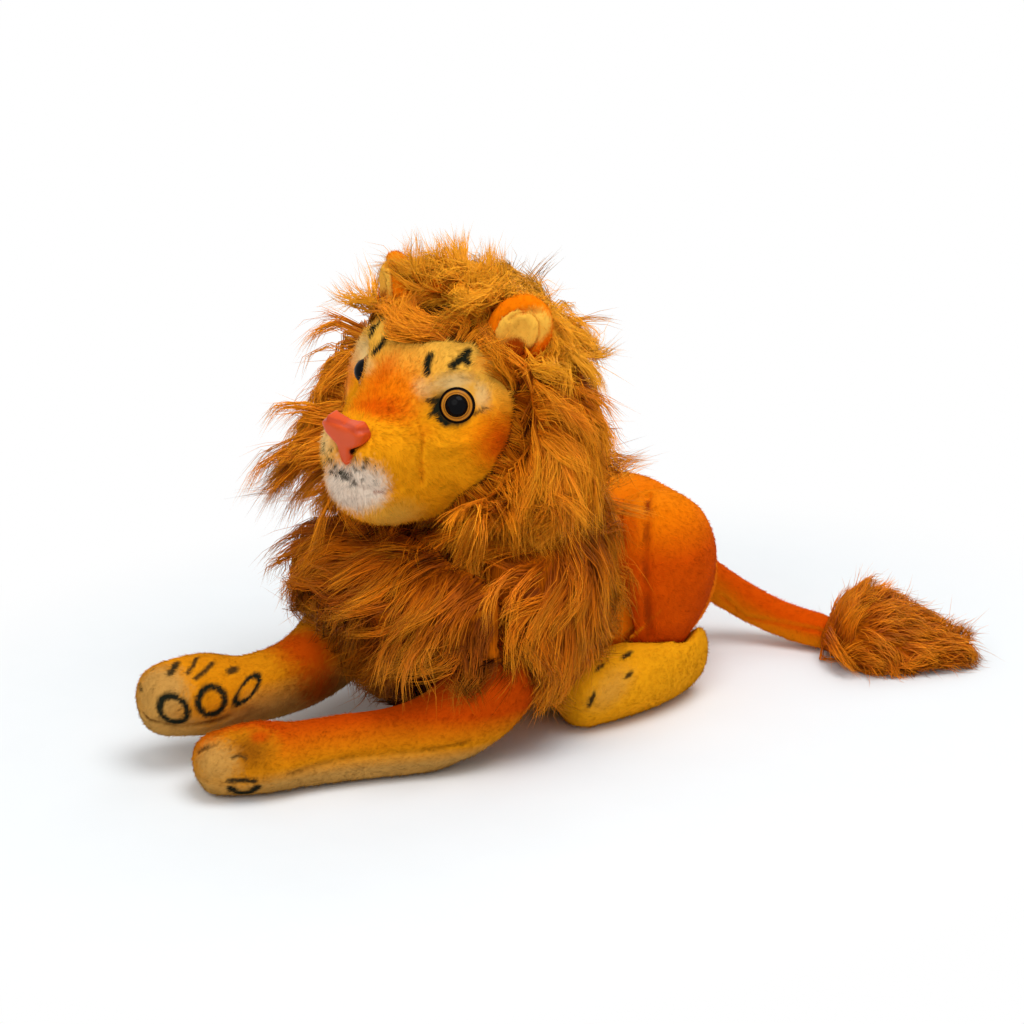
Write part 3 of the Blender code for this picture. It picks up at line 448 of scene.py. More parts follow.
def spot(tree, x, y, length, width, angle, colour, strength=1.0, soft=0.5, ring=None, depth=0.012):
    """A patch of dye at a point of the photograph: its half length, half width and angle are read there."""
    place, normal = seen(tree, x, y)
    angle = math.radians(angle)
    way = np.array((math.cos(angle), -math.sin(angle)))
    across = np.array((math.sin(angle), math.cos(angle)))
    arms = []
    for arm in (way * length, across * width):
        start, ray = sight(x + arm[0], y + arm[1])
        facing = min(ray.dot(normal), -0.25)
        arms.append(ray * ((place - start).dot(normal) / facing) + start - place)
    arms = [arm - normal * arm.dot(normal) for arm in arms]
    axes = np.array([arms[0], arms[1], normal * depth]).T
    return Spot(place, axes, colour, strength, soft, ring)


class Stroke:
    """A soft-edged line of dye."""

    def __init__(self, line, width, colour, strength=1.0, soft=0.6):
        self.line = [np.array(point) for point in line]
        self.width = width
        self.colour = np.array(colour[:3])
        self.strength = strength
        self.soft = soft

    def mirrored(self, place, across):
        """The same line on the other side of a plane."""
        line = mirrored_points(self.line, place, across)
        return Stroke(line, self.width, self.colour, self.strength, self.soft)

    def cover(self, points, jitter):
        gap = from_line(points, self.line) + jitter * self.width
        return self.strength * (1 - smooth(self.width * (1 - self.soft), self.width, gap))


def line_on(tree, points):
    """A line of photograph points, laid on a surface."""
    return [seen(tree, x, y)[0] for x, y in points]


# ---------------------------------------------------------------- meshes


def new_piece(name, shape, material):
    """An object made from a bmesh, or from a finished mesh."""
    mesh = shape
    if isinstance(shape, bmesh.types.BMesh):
        mesh = bpy.data.meshes.new(name)
        shape.to_mesh(mesh)
        shape.free()
        mesh.shade_smooth()
    piece = bpy.data.objects.new(name, mesh)
    bpy.context.scene.collection.objects.link(piece)
    mesh.materials.clear()
    mesh.materials.append(material)
    return piece


def applied(bm, name, add_modifiers):
    """A bmesh with modifiers applied."""
    mesh = bpy.data.meshes.new(name)
    bm.to_mesh(mesh)
    bm.free()
    holder = bpy.data.objects.new(name, mesh)
    bpy.context.scene.collection.objects.link(holder)
    add_modifiers(holder)
    graph = bpy.context.evaluated_depsgraph_get()
    result = bmesh.new()
    result.from_object(holder, graph)
    bpy.data.objects.remove(holder)
    bpy.data.meshes.remove(mesh)
    return result


def remesh(size):
    def add(holder):
        modifier = holder.modifiers.new("remesh", "REMESH")
        modifier.mode = "VOXEL"
        modifier.voxel_size = size

    return add


def subdivision(levels):
    def add(holder):
        modifier = holder.modifiers.new("subdivision", "SUBSURF")
        modifier.levels = levels
        modifier.render_levels = levels

    return add


def node_bmesh(nodes, grow):
    """These nodes' solids in one bmesh, welded, each grown a little so that they join."""
    bm = bmesh.new()
    for node in nodes:
        bm.from_mesh(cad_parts[node].data)
    bmesh.ops.remove_doubles(bm, verts=bm.verts, dist=WELD)
    bm.normal_update()
    if grow:
        moves = [(vertex, vertex.normal * grow) for vertex in bm.verts]
        for vertex, move in moves:
            vertex.co += move
    return bm


def evened(bm):
    """One round of smoothing."""
    bmesh.ops.smooth_vert(bm, verts=bm.verts, factor=0.5, use_axis_x=True, use_axis_y=True, use_axis_z=True)


def keep_largest(bm):
    """Only the largest connected shell stays."""
    left, shells = set(bm.verts), []
    while left:
        reached, front = set(), [left.pop()]
        while front:
            vertex = front.pop()
            if vertex in reached:
                continue
            reached.add(vertex)
            others = (edge.other_vert(vertex) for edge in vertex.link_edges)
            front.extend(other for other in others if other not in reached)
        left -= reached
        shells.append(reached)
    shells.sort(key=len)
    for shell in shells[:-1]:
        bmesh.ops.delete(bm, geom=list(shell), context="VERTS")


def skin_bmesh(nodes, size, rounds, inset=0.0, grow=0.0, swell=0.0, levels=1):
    """An even, smoothed skin over these nodes' solids, blown up a little where it is stuffed, and subdivided."""
    bm = applied(node_bmesh(nodes, grow - 0.5 * swell), "skin", remesh(size))
    keep_largest(bm)
    floor = min(vertex.co.z for vertex in bm.verts)
    low = [vertex for vertex in bm.verts if vertex.co.z < floor + size]
    rests = floor < size
    for _ in range(rounds):
        evened(bm)
        if rests:
            for vertex in low:
                vertex.co.z = min(vertex.co.z, floor + 0.5 * size)
    if swell:
        bm = stuffed(bm, swell)
    if levels:
        bm = applied(bm, "skin", subdivision(levels))
    bm.normal_update()
    if inset:
        sink(bm, inset)
    return bm


def sink(bm, depth):
    """Moves a skin inwards, less where it is thin."""
    tree = BVHTree.FromBMesh(bm)
    moves = []
    for vertex in bm.verts:
        start = vertex.co - vertex.normal * WELD * 50
        _, _, _, gap = tree.ray_cast(start, -vertex.normal, 4 * depth)
        moves.append(vertex.normal * -min(depth, 0.3 * (gap if gap is not None else 4 * depth)))
    for vertex, move in zip(bm.verts, moves):
        vertex.co += move


def coordinates(mesh):
    points = np.empty(len(mesh.vertices) * 3, np.float32)
    mesh.vertices.foreach_get("co", points)
    normals = np.empty(len(mesh.vertices) * 3, np.float32)
    mesh.vertex_normals.foreach_get("vector", normals)
    return points.reshape(-1, 3).astype(float), normals.reshape(-1, 3).astype(float)


def place_points(mesh, points):
    mesh.vertices.foreach_set("co", points.astype(np.float32).ravel())
    mesh.update()


def from_line(points, line):
    """How far each point is from a line of points."""
    best = np.full(len(points), np.inf)
    for start, end in zip(line, line[1:]):
        start, way = np.array(start), np.array(end) - np.array(start)
        share = np.clip((points - start) @ way / max(way @ way, TINY), 0, 1)
        best = np.minimum(best, np.linalg.norm(points - start - share[:, None] * way, axis=1))
    return best


def pinch(piece, line, width, depth):
    """Draws a skin in along a seam."""
    points, normals = coordinates(piece.data)
    gap = from_line(points, line)
    points -= normals * (depth * np.exp(-((gap / width) ** 2)))[:, None]
    place_points(piece.data, points)


def tree_of(*pieces):
    """What these pieces cover."""
    bm = bmesh.new()
    for piece in pieces:
        bm.from_mesh(piece.data)
    tree = BVHTree.FromBMesh(bm)
    bm.free()
    return tree


def write_attributes(mesh, dye, along=None):
    """The dye on each vertex, and how far along its fibre each vertex is."""
    colours = mesh.attributes.new("dye", "FLOAT_COLOR", "POINT")
    colours.data.foreach_set("color", np.column_stack((dye, np.ones(len(dye)))).astype(np.float32).ravel())
    if along is not None:
        mesh.attributes.new("along", "FLOAT", "POINT").data.foreach_set("value", along.astype(np.float32))


def dyed(points, normals, coat):
    """The dye at these points: the coat's ground and then its spots, with a ragged edge."""
    ground, spots = coat
    colour = ground(points, normals)
    draw = np.random.default_rng(SEED)
    jitter = draw.normal(0, 0.06, len(points))
    for patch in spots:
        cover = patch.cover(points, jitter * (0.4 if patch.colour.max() < 0.1 else 1.0))[:, None]
        colour = colour * (1 - cover) + patch.colour * cover
    return colour


def fibre_template(rings):
    """A thin upright spike one unit high with three sides, cut across so that it has this many lengths."""
    bm = bmesh.new()
    bmesh.ops.create_cone(bm, cap_ends=True, segments=3, radius1=1, radius2=0, depth=1)
    bmesh.ops.translate(bm, verts=bm.verts, vec=(0, 0, 0.5))
    for ring in range(1, rings):
        bmesh.ops.bisect_plane(
            bm, geom=bm.verts[:] + bm.edges[:] + bm.faces[:], plane_co=(0, 0, ring / rings), plane_no=(0, 0, 1)
        )
    for vertex in bm.verts:
        full = 1 - vertex.co.z
        if full > WELD:
            vertex.co.x *= (1 - vertex.co.z**2 * 0.9) / full
            vertex.co.y *= (1 - vertex.co.z**2 * 0.9) / full
    bmesh.ops.remove_doubles(bm, verts=bm.verts, dist=WELD)
    bmesh.ops.triangulate(bm, faces=bm.faces)
    bmesh.ops.recalc_face_normals(bm, faces=bm.faces)
    points = np.array([vertex.co for vertex in bm.verts])
    faces = np.array([[vertex.index for vertex in face.verts] for face in bm.faces])
    bm.free()
    return points, faces


def fibres_mesh(name, paths, widths, dyes, facing, own=0.4, raised=0.0):
    """One spike along each path, as one mesh, shaded mostly as the cloth under it is.

    dyes holds each spike's colours from root to tip. Every spike has its own cell of the bake map.
    """
    count, steps, _ = paths.shape
    template, faces = fibre_template(steps - 1)
    rings = np.rint(template[:, 2] * (steps - 1)).astype(int)
    ways = unit(np.gradient(paths, axis=1))
    draw = np.random.default_rng(SEED + 1)
    aside = unit(np.cross(ways[:, 0], draw.normal(size=(count, 3))))
    side = unit(aside[:, None] - ways * (aside[:, None] * ways).sum(-1, keepdims=True))
    other = np.cross(ways, side)
    round_it = side[:, rings] * template[:, 0, None] + other[:, rings] * template[:, 1, None]
    shape = paths[:, rings] + round_it * widths[:, None, None] / 2
    loops = (faces[None] + len(template) * np.arange(count)[:, None, None]).reshape(-1)
    mesh = bpy.data.meshes.new(name)
    mesh.vertices.add(count * len(template))
    mesh.vertices.foreach_set("co", shape.astype(np.float32).ravel())
    mesh.loops.add(len(loops))
    mesh.loops.foreach_set("vertex_index", loops.astype(np.int32))
    mesh.polygons.add(len(loops) // 3)
    mesh.polygons.foreach_set("loop_start", np.arange(0, len(loops), 3, dtype=np.int32))
    mesh.update(calc_edges=True)
    share = template[:, 2]
    stops = np.linspace(0, 1, dyes.shape[1])
    low = np.clip(np.searchsorted(stops, share, side="right") - 1, 0, dyes.shape[1] - 2)
    part = ((share - stops[low]) * (dyes.shape[1] - 1))[None, :, None]
    dye = dyes[:, low] * (1 - part) + dyes[:, low + 1] * part
    write_attributes(mesh, dye.reshape(-1, 3), np.tile(share, count))
    cells = math.ceil(math.sqrt(count))
    corner = np.stack((np.arange(count) % cells, np.arange(count) // cells), axis=1) / cells
    angle = np.arctan2(template[:, 1], template[:, 0]) / math.tau + 0.5
    inside = 0.1 + 0.8 * np.stack((np.where(share >= 1, 0.5, angle), share), axis=1)
    spread = (corner[:, None] + inside[None] / cells).reshape(-1, 2)
    bake = mesh.uv_layers.new(name="OFBake")
    bake.data.foreach_set("uv", spread[loops].astype(np.float32).ravel())
    mesh.shade_smooth()
    shown = facing[:, None] + own * unit(round_it)
    if raised:
        along = ways[:, rings]
        shown = shown + raised * unit(np.array((0.0, 0.0, 1.0)) - along * along[..., 2:])
    shown = unit(shown)
    mesh.normals_split_custom_set_from_vertices(shown.reshape(-1, 3).astype(np.float32))
    return mesh


def scattered(piece, area, seed, keep=None):
    """Evenly random points on a skin, with their normals."""
    mesh = piece.data
    mesh.calc_loop_triangles()
    corners = np.empty(len(mesh.loop_triangles) * 3, np.int32)
    mesh.loop_triangles.foreach_get("vertices", corners)
    corners = corners.reshape(-1, 3)
    points, normals = coordinates(mesh)
    a, b, c = (points[corners[:, i]] for i in range(3))
    size = np.linalg.norm(np.cross(b - a, c - a), axis=1) / 2
    draw = np.random.default_rng(SEED + seed)
    count = int(size.sum() / area)
    chosen = draw.choice(len(corners), count, p=size / size.sum())
    u, v = draw.random(count), draw.random(count)
    fold = u + v > 1
    u, v = np.where(fold, 1 - u, u), np.where(fold, 1 - v, v)
    weights = np.stack((1 - u - v, u, v), axis=1)[:, :, None]
    places = (points[corners[chosen]] * weights).sum(1)
    ways = unit((normals[corners[chosen]] * weights).sum(1))
    if keep is not None:
        good = keep(places, ways)
        places, ways = places[good], ways[good]
    return places, ways


def open_to_air(trees, clearance):
    """A test for points that no neighbour covers and that don't face the floor."""

    def test(places, ways):
        good = ~((places[:, 2] < 0.0012) & (ways[:, 2] < -0.3))
        for tree in trees:
            for index in np.flatnonzero(good):
                start = Vector(places[index] + ways[index] * WELD)
                if tree.ray_cast(start, Vector(ways[index]), clearance)[0] is not None:
                    good[index] = False
        return good

    return test


def toned_dye(colours, tone):
    """Dyes made lighter or darker without a change of hue where they would clip."""
    colours = colours * tone
    return colours / np.maximum(colours.max(-1, keepdims=True), 1.0)


def sway(points, seed, length):
    """A smooth swing about 0 over the cloth, this long from crest to crest, and the same in each run."""
    draw = np.random.default_rng(SEED + seed)
    waves = unit(draw.normal(0, 1, (5, 3))) * (math.tau / length) * draw.uniform(0.7, 1.5, 5)[:, None]
    return np.sin(points @ waves.T + draw.uniform(0, math.tau, 5)).sum(1) / 2


def solid_tree(nodes):
    """The solids of these nodes, to test what they cover."""
    bm = node_bmesh(nodes, 0.0)
    tree = BVHTree.FromBMesh(bm)
    bm.free()
    return tree


# How the short pile stands
PILE_LEAN = 0.72
PILE_SCATTER = 0.22
PILE_SWIRL = 0.45
PILE_SWIRL_LENGTH = 0.020
PILE_ROOM = 0.0016
PILE_ROOT = 0.0002
PILE_FLOOR = 0.0001
COVER_REACH = 0.2


def pile(name, skin, coat, comb, seed, neighbours=(), area=None, length=None, under=(), bare=()):
    """Short fibres over a skin, leaning the way comb says, and none where the nodes under which it lies cover it."""
    plush = bpy.context.scene.lion_plush
    tests = [open_to_air(neighbours, PILE_ROOM)]
    tests.extend(lambda p, w, line=line, gap=gap: from_line(p, line) > gap for line, gap in bare)
    if under:
        tests.append(open_to_air([solid_tree([node]) for node in under], COVER_REACH))

    def keep(points, normals):
        return np.all([test(points, normals) for test in tests], axis=0)

    places, ways = scattered(skin, area or plush.pile_area, seed, keep)
    draw = np.random.default_rng(SEED + 100 + seed)
    flow = unit(comb(places, ways)) + draw.normal(0, PILE_SCATTER, places.shape)
    flow += np.cross(ways, flow) * PILE_SWIRL * sway(places, 7, PILE_SWIRL_LENGTH)[:, None]
    flow = unit(flow - ways * (flow * ways).sum(1, keepdims=True))
    rise = np.clip(draw.normal(1 - PILE_LEAN, 0.1, len(places)), 0.08, 0.9)[:, None]
    reach = (length or plush.pile_length) * draw.uniform(0.6, 1.2, len(places))[:, None]
    start = places - ways * PILE_ROOT
    end = start + unit(ways * rise + flow * (1 - rise)) * reach
    for row in (start, end):
        row[:, 2] = np.maximum(row[:, 2], PILE_FLOOR)
    patchy = 1 + 0.07 * sway(places, 8, 0.006) + 0.05 * sway(places, 9, 0.016)
    dye = toned_dye(dyed(places, ways, coat), (draw.uniform(0.78, 1.14, len(places)) * patchy)[:, None])
    widths = plush.pile_width * draw.uniform(0.7, 1.2, len(places))
    # Painted shade: each fibre is a little darker at its root than at its tip.
    dye = np.stack((dye * 0.94, toned_dye(dye, 1.04)), axis=1)
    mesh = fibres_mesh(name, np.stack((start, end), axis=1), widths, dye, ways, 0.5)
    return new_piece(name, mesh, finish_of("short_plush", plush_finish))


def stuffed(bm, most):
    """A skin blown up a little by its stuffing with Blender's cloth, no point moving further than most."""
    mesh = bpy.data.meshes.new("stuffing")
    bm.to_mesh(mesh)
    holder = bpy.data.objects.new("stuffing", mesh)
    scene = bpy.context.scene
    scene.collection.objects.link(holder)
    cloth = holder.modifiers.new("stuffing", "CLOTH")
    cloth.settings.quality = 4
    cloth.settings.use_pressure = True
    cloth.settings.uniform_pressure_force = 4
    cloth.settings.effector_weights.gravity = 0
    cloth.point_cache.frame_start = 1
    cloth.point_cache.frame_end = STUFFING_FRAMES
    for number in range(1, STUFFING_FRAMES + 1):
        scene.frame_set(number)
    swollen = holder.evaluated_get(bpy.context.evaluated_depsgraph_get()).to_mesh()
    for vertex, blown in zip(bm.verts, [point.co.copy() for point in swollen.vertices]):
        move = blown - vertex.co
        if move.length > most:
            move *= most / move.length
        vertex.co += move
        vertex.co.z = max(vertex.co.z, 0.0)
    bpy.data.objects.remove(holder)
    bpy.data.meshes.remove(mesh)
    scene.frame_set(1)
    bm.normal_update()
    return bm


def soft_skin(name, bm, coat, nodes):
    """A stuffed piece with its dye, its filling and the nodes that it stands for."""
    piece = new_piece(name, bm, finish_of("short_plush", plush_finish))
    points, normals = coordinates(piece.data)
    if coat:
        write_attributes(piece.data, dyed(points, normals, coat))
    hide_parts(*nodes)
    return piece


def set_dye(piece, coat):
    points, normals = coordinates(piece.data)
    write_attributes(piece.data, dyed(points, normals, coat))


SKINS = {}
MANE_ON_BODY = ("mane_shoulder_left", "mane_shoulder_right", "mane_chest")

# The painted whisker spots: where each is seen, and how wide it is there
WHISKER_SPOTS = (
    (331, 449, 3.0),
    (331, 459, 3.5),
    (335, 466, 4.0),
    (341, 471, 5.0),
    (346, 476, 6.0),
    (353, 482, 5.5),
    (357, 470, 3.5),
    (365, 460, 4.0),
    (364, 467, 4.5),
    (375, 467, 3.0),
    (363, 479, 3.0),
    (375, 481, 2.5),
    (383, 470, 2.0),
)


# ---------------------------------------------------------------- coats


def plain(colour):
    return lambda points, normals: np.tile(np.array(colour), (len(points), 1))


def by_height(stops):
    """A ground whose colour changes with height: (height, colour) stops."""
    heights = [height for height, _ in stops]
    colours = np.array([tuple(colour) for _, colour in stops])
    return lambda points, normals: np.stack(
        [np.interp(points[:, 2], heights, colours[:, channel]) for channel in range(3)], axis=1
    )


def backward(points, normals):
    """Pile that is brushed towards the tail and a little down."""
    return np.tile(np.array((-0.8, 0.0, -0.5)), (len(points), 1))


def forward_down(points, normals):
    return np.tile(np.array((0.9, 0.0, -0.3)), (len(points), 1))


def upward(points, normals):
    return np.tile(np.array((0.0, 0.0, 1.0)), (len(points), 1))


def head_local(points):
    """The same points in the head's own frame: forward, left and up from its middle."""
    return (points - HEAD_MIDDLE) @ HEAD_AXES


# ---------------------------------------------------------------- operators


MIDDLE = np.zeros(3)
ACROSS = np.array((0.0, 1.0, 0.0))


def on_side(side, patches, place=MIDDLE, across=ACROSS):
    """The left side's patches, or the same ones mirrored for the right side."""
    return patches if side == "left" else [patch.mirrored(place, across) for patch in patches]


def line_side(side, line):
    return [Vector((point.x, SIDES[side] * point.y, point.z)) for point in line]


class MakeTrunk(bpy.types.Operator):
    """Makes the trunk, haunches and hind feet"""

    bl_idname = "plush_lion.trunk"
    bl_label = "Trunk and hind legs"
    bl_options = {"REGISTER", "UNDO"}

    def execute(self, context):
        plush = context.scene.lion_plush
        bm = skin_bmesh(["torso"], 0.0042, 3, swell=0.0012)
        trunk = soft_skin("trunk_skin", bm, None, ["torso"])
        SKINS["trunk"] = trunk
        for side in SIDES:
            bm = skin_bmesh([f"haunch_{side}"], 0.0030, 3, swell=0.0014)
            haunch = soft_skin(f"haunch_skin_{side}", bm, None, [f"haunch_{side}"])
            bm = skin_bmesh([f"hind_foot_{side}"], 0.0028, 4, swell=0.0010)
            foot = soft_skin(f"hind_foot_skin_{side}", bm, None, [f"hind_foot_{side}"])
            SKINS[f"haunch_{side}"], SKINS[f"foot_{side}"] = haunch, foot
        haunch_tree, foot_tree = tree_of(SKINS["haunch_left"]), tree_of(SKINS["foot_left"])
        dart = line_on(haunch_tree, [(621, 545), (619, 525), (621, 506), (630, 493), (646, 487)])
        seam = line_on(haunch_tree, [(649, 486), (647, 515), (645, 550), (646, 590), (650, 636)])
        haunch_spots = [
            spot(haunch_tree, 668, 592, 60, 34, -60, plush.rust, 0.55, 0.9),
            # This rust patch between the dart and the seam is partly painted shade beside the seam's ridge.
            spot(haunch_tree, 630, 525, 16, 32, 0, plush.rust, 0.6, 0.9),
            spot(haunch_tree, 596, 640, 34, 26, 0, plush.yellow, 0.7, 0.9),
            spot(haunch_tree, 668, 622, 50, 9, 12, plush.rust, 0.7, 0.9),
            Stroke(dart, 0.0022, plush.seam, 0.95, 0.8),
            Stroke(seam, 0.0022, plush.seam, 0.95, 0.8),
        ]
        foot_spots = [
            spot(foot_tree, 672, 650, 40, 20, 40, plush.yellow, 0.3, 0.9),
            spot(foot_tree, 612, 690, 44, 22, 50, plush.tan, 0.45, 0.9),
            spot(foot_tree, 627, 655, 9, 3.2, 35, plush.ink, 0.95, 0.4),
            spot(foot_tree, 600, 667, 7, 2.6, 40, plush.ink, 0.9, 0.4),
            spot(foot_tree, 629, 675, 7, 3, 45, plush.ink, 0.9, 0.4),
            spot(foot_tree, 592, 700, 12, 3, 68, plush.ink, 0.95, 0.4),
        ]
        # Darker low down and paler on top: partly the haunch's own colours, partly painted shade low down and painted
        # light on top.
        haunch_ground = by_height(
            [(0.04, plush.deep), (0.07, plush.rust), (0.088, plush.orange), (0.105, plush.bright)]
        )
        for side in SIDES:
            haunch, foot = SKINS[f"haunch_{side}"], SKINS[f"foot_{side}"]
            seams = [line_side(side, dart), line_side(side, seam)]
            for line in seams:
                pinch(haunch, line, 0.0020, 0.0022)
            haunch_coat = (haunch_ground, on_side(side, haunch_spots))
            foot_coat = (plain(plush.yellow), on_side(side, foot_spots))
            set_dye(haunch, haunch_coat)
            set_dye(foot, foot_coat)
            near = [tree_of(trunk), tree_of(foot)]
            bare = [(line, 0.0009) for line in seams]
            self.cover(f"haunch_pile_{side}", haunch, haunch_coat, backward, 1, near, "orange_plush", bare=bare)
            near = [tree_of(trunk), tree_of(haunch)]
            self.cover(f"hind_foot_pile_{side}", foot, foot_coat, forward_down, 2, near, "yellow_plush")
        # The paler orange at the top of the back is painted light from above.
        stops = [(0.0, plush.yellow), (0.03, plush.orange), (0.09, plush.orange), (0.11, plush.bright)]
        trunk_coat = (by_height(stops), [])
        set_dye(trunk, trunk_coat)
        near = [tree_of(SKINS[f"haunch_{side}"]) for side in SIDES]
        self.cover("trunk_pile", trunk, trunk_coat, backward, 3, near, "orange_plush", area=plush.pile_area * 1.4)
        for name in ("trunk", "haunch_left", "haunch_right", "foot_left", "foot_right"):
            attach(SKINS[name], "torso")
        return {"FINISHED"}

    @staticmethod
    def cover(name, skin, coat, comb, seed, near, slot, **more):
        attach(pile(name, skin, coat, comb, seed, near, under=MANE_ON_BODY, **more), "torso")


class MakeHead(bpy.types.Operator):
    """Makes the head with its painted face, and the neck inside it"""

    bl_idname = "plush_lion.head"
    bl_label = "Head and neck"
    bl_options = {"REGISTER", "UNDO"}

    def execute(self, context):
        plush = context.scene.lion_plush
        head = soft_skin("head_skin", skin_bmesh(["head"], 0.0028, 3), None, ["head"])
        SKINS["head"] = head
        self.seat_eyes(head, context.scene.lion_face)
        tree = tree_of(head)
        cheek_dart = line_on(tree, [(423, 436), (421, 456), (422, 482)])
        mouth = line_on(tree, [(346, 480), (356, 487), (370, 491), (386, 492), (398, 489)])
        for line, width, depth in ((cheek_dart, 0.0013, 0.0011), (mouth, 0.0016, 0.0012)):
            for half in (line, mirrored_points(line, HEAD_MIDDLE, HEAD_ACROSS)):
                pinch(head, half, width, depth)
        paired = self.cheeks(plush, tree) + [
            Stroke(cheek_dart, 0.0012, plush.deep, 0.7),
            Stroke(mouth, 0.0011, plush.seam, 0.6),
        ]
        edge = FaceEdge(tree)
        coat = (self.ground(plush), self.middle(plush, tree))
        coat[1].extend(paired + [patch.mirrored(HEAD_MIDDLE, HEAD_ACROSS) for patch in paired])
        # Painted shade: the head's skin behind the face's seam is dark, under the mane.
        coat[1].append(Behind(edge, np.array(plush.stitch)))
        set_dye(head, coat)
        crown = ("mane_crown", "mane_nape", "mane_cheek_left", "mane_cheek_right")
        bare = []
        for side in SIDES:
            top, axis = eye_place(side)
            bare.append(([top - axis * context.scene.lion_face.eye_bulge] * 2, 0.0100))
        area = plush.pile_area * 0.9
        grown = pile("head_pile", head, coat, self.comb, 4, area=area, length=0.0032, under=crown, bare=bare)
        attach(grown, "head")
        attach(head, "head")
        neck_coat = (plain(context.scene.lion_mane.root), [])
        neck = soft_skin("neck_skin", skin_bmesh(["neck"], 0.004, 2), neck_coat, ["neck"])
        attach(neck, "neck")
        return {"FINISHED"}

    @staticmethod
    def seat_eyes(head, face):
        """Draws the skin in round each eye, so that the eye's rim stands on it."""
        points, _ = coordinates(head.data)
        for side in SIDES:
            top, axis = eye_place(side)
            away = points - top
            height = away @ axis
            reach = np.linalg.norm(away - height[:, None] * axis, axis=1)
            limit = -face.eye_bulge + 0.0004 + 0.45 * np.maximum(reach - 1.05 * face.eye_radius, 0)
            low = (reach < 2.2 * face.eye_radius) & (height > limit) & (height < 0.006)
            points[low] += axis * (limit - height)[low, None]
        place_points(head.data, points)

    @staticmethod
    def cheeks(plush, tree):
        """What is painted the same on both sides of the face."""
        patches = [
            spot(tree, 452, 382, 34, 14, 8, plush.cream, 0.85, 0.9),
            spot(tree, 482, 396, 12, 20, 10, plush.cream, 0.7, 0.8),
            spot(tree, 424, 389, 16, 14, -30, plush.cream, 0.5, 0.8),
            spot(tree, 488, 436, 46, 56, -25, plush.orange, 0.55, 0.95),
            spot(tree, 499, 442, 30, 42, -25, plush.rust, 0.9, 0.95),
            spot(tree, 482, 362, 20, 12, 40, plush.orange, 0.35, 0.9),
            spot(tree, 420, 432, 18, 12, 0, plush.rust, 0.25, 0.9),
            spot(tree, 453, 408, 26, 23, 0, plush.ink, 0.95, 0.35),
            Stroke(line_on(tree, [(437, 399), (431, 402), (427, 401)]), 0.0014, plush.ink, 0.95),
            Stroke(line_on(tree, [(437, 408), (432, 413), (429, 416)]), 0.0014, plush.ink, 0.95),
            Stroke(line_on(tree, [(439, 402), (436, 410), (440, 420), (446, 424)]), 0.0020, plush.ink, 1.0),
            Stroke(line_on(tree, [(474, 414), (480, 411), (484, 408)]), 0.0011, plush.ink, 0.8),
            Stroke(line_on(tree, [(430, 357), (427, 364), (427, 373)]), 0.0025, plush.ink, 1.0, 0.55),
            Stroke(line_on(tree, [(452, 366), (459, 360), (468, 351)]), 0.0025, plush.ink, 1.0, 0.55),
            Stroke(line_on(tree, [(463, 356), (467, 363)]), 0.0023, plush.ink, 1.0, 0.55),
        ]
        for x, y, size in WHISKER_SPOTS:
            patches.append(spot(tree, x, y, size * 1.15, size * 0.8, 40, plush.ink, 0.9, 0.7))
        return patches

    @staticmethod
    def middle(plush, tree):
        """What is painted over the middle of the face."""
        return [
            spot(tree, 362, 356, 30, 26, 50, plush.cream, 0.75, 0.8),
            # This pale strip along the edge of the nose's bridge is partly cream and partly painted rim light.
            spot(tree, 340, 404, 12, 42, -14, plush.cream, 0.7, 0.8),
            spot(tree, 404, 356, 52, 26, 0, plush.orange, 0.3, 0.95),
            spot(tree, 388, 390, 58, 42, 0, plush.orange, 0.95, 0.8),
            spot(tree, 378, 408, 54, 20, -8, plush.rust, 0.85, 0.9),
            spot(tree, 384, 372, 34, 14, 62, plush.rust, 0.5, 0.9),
            spot(tree, 324, 440, 12, 30, 0, plush.cream, 0.8, 0.8),
            spot(tree, 352, 488, 50, 32, -15, plush.ivory, 1.0, 0.5),
            spot(tree, 392, 518, 44, 16, 12, plush.straw, 0.9, 0.8),
        ]

    @staticmethod
    def ground(plush):
        def colour(points, normals):
            up = smooth(0.0, 0.030, head_local(points)[:, 2])[:, None]
            low = np.array(plush.yellow) * 0.85 + np.array(plush.orange) * 0.15
            return low * (1 - up) + np.array(plush.straw) * up

        return colour

    @staticmethod
    def comb(points, normals):
        """The face's pile runs from the nose back over the cheeks."""
        nose = np.array(HEAD_PLACE + HEAD_TURN @ Vector((0.062, 0, -0.004)))
        return unit(points - nose)


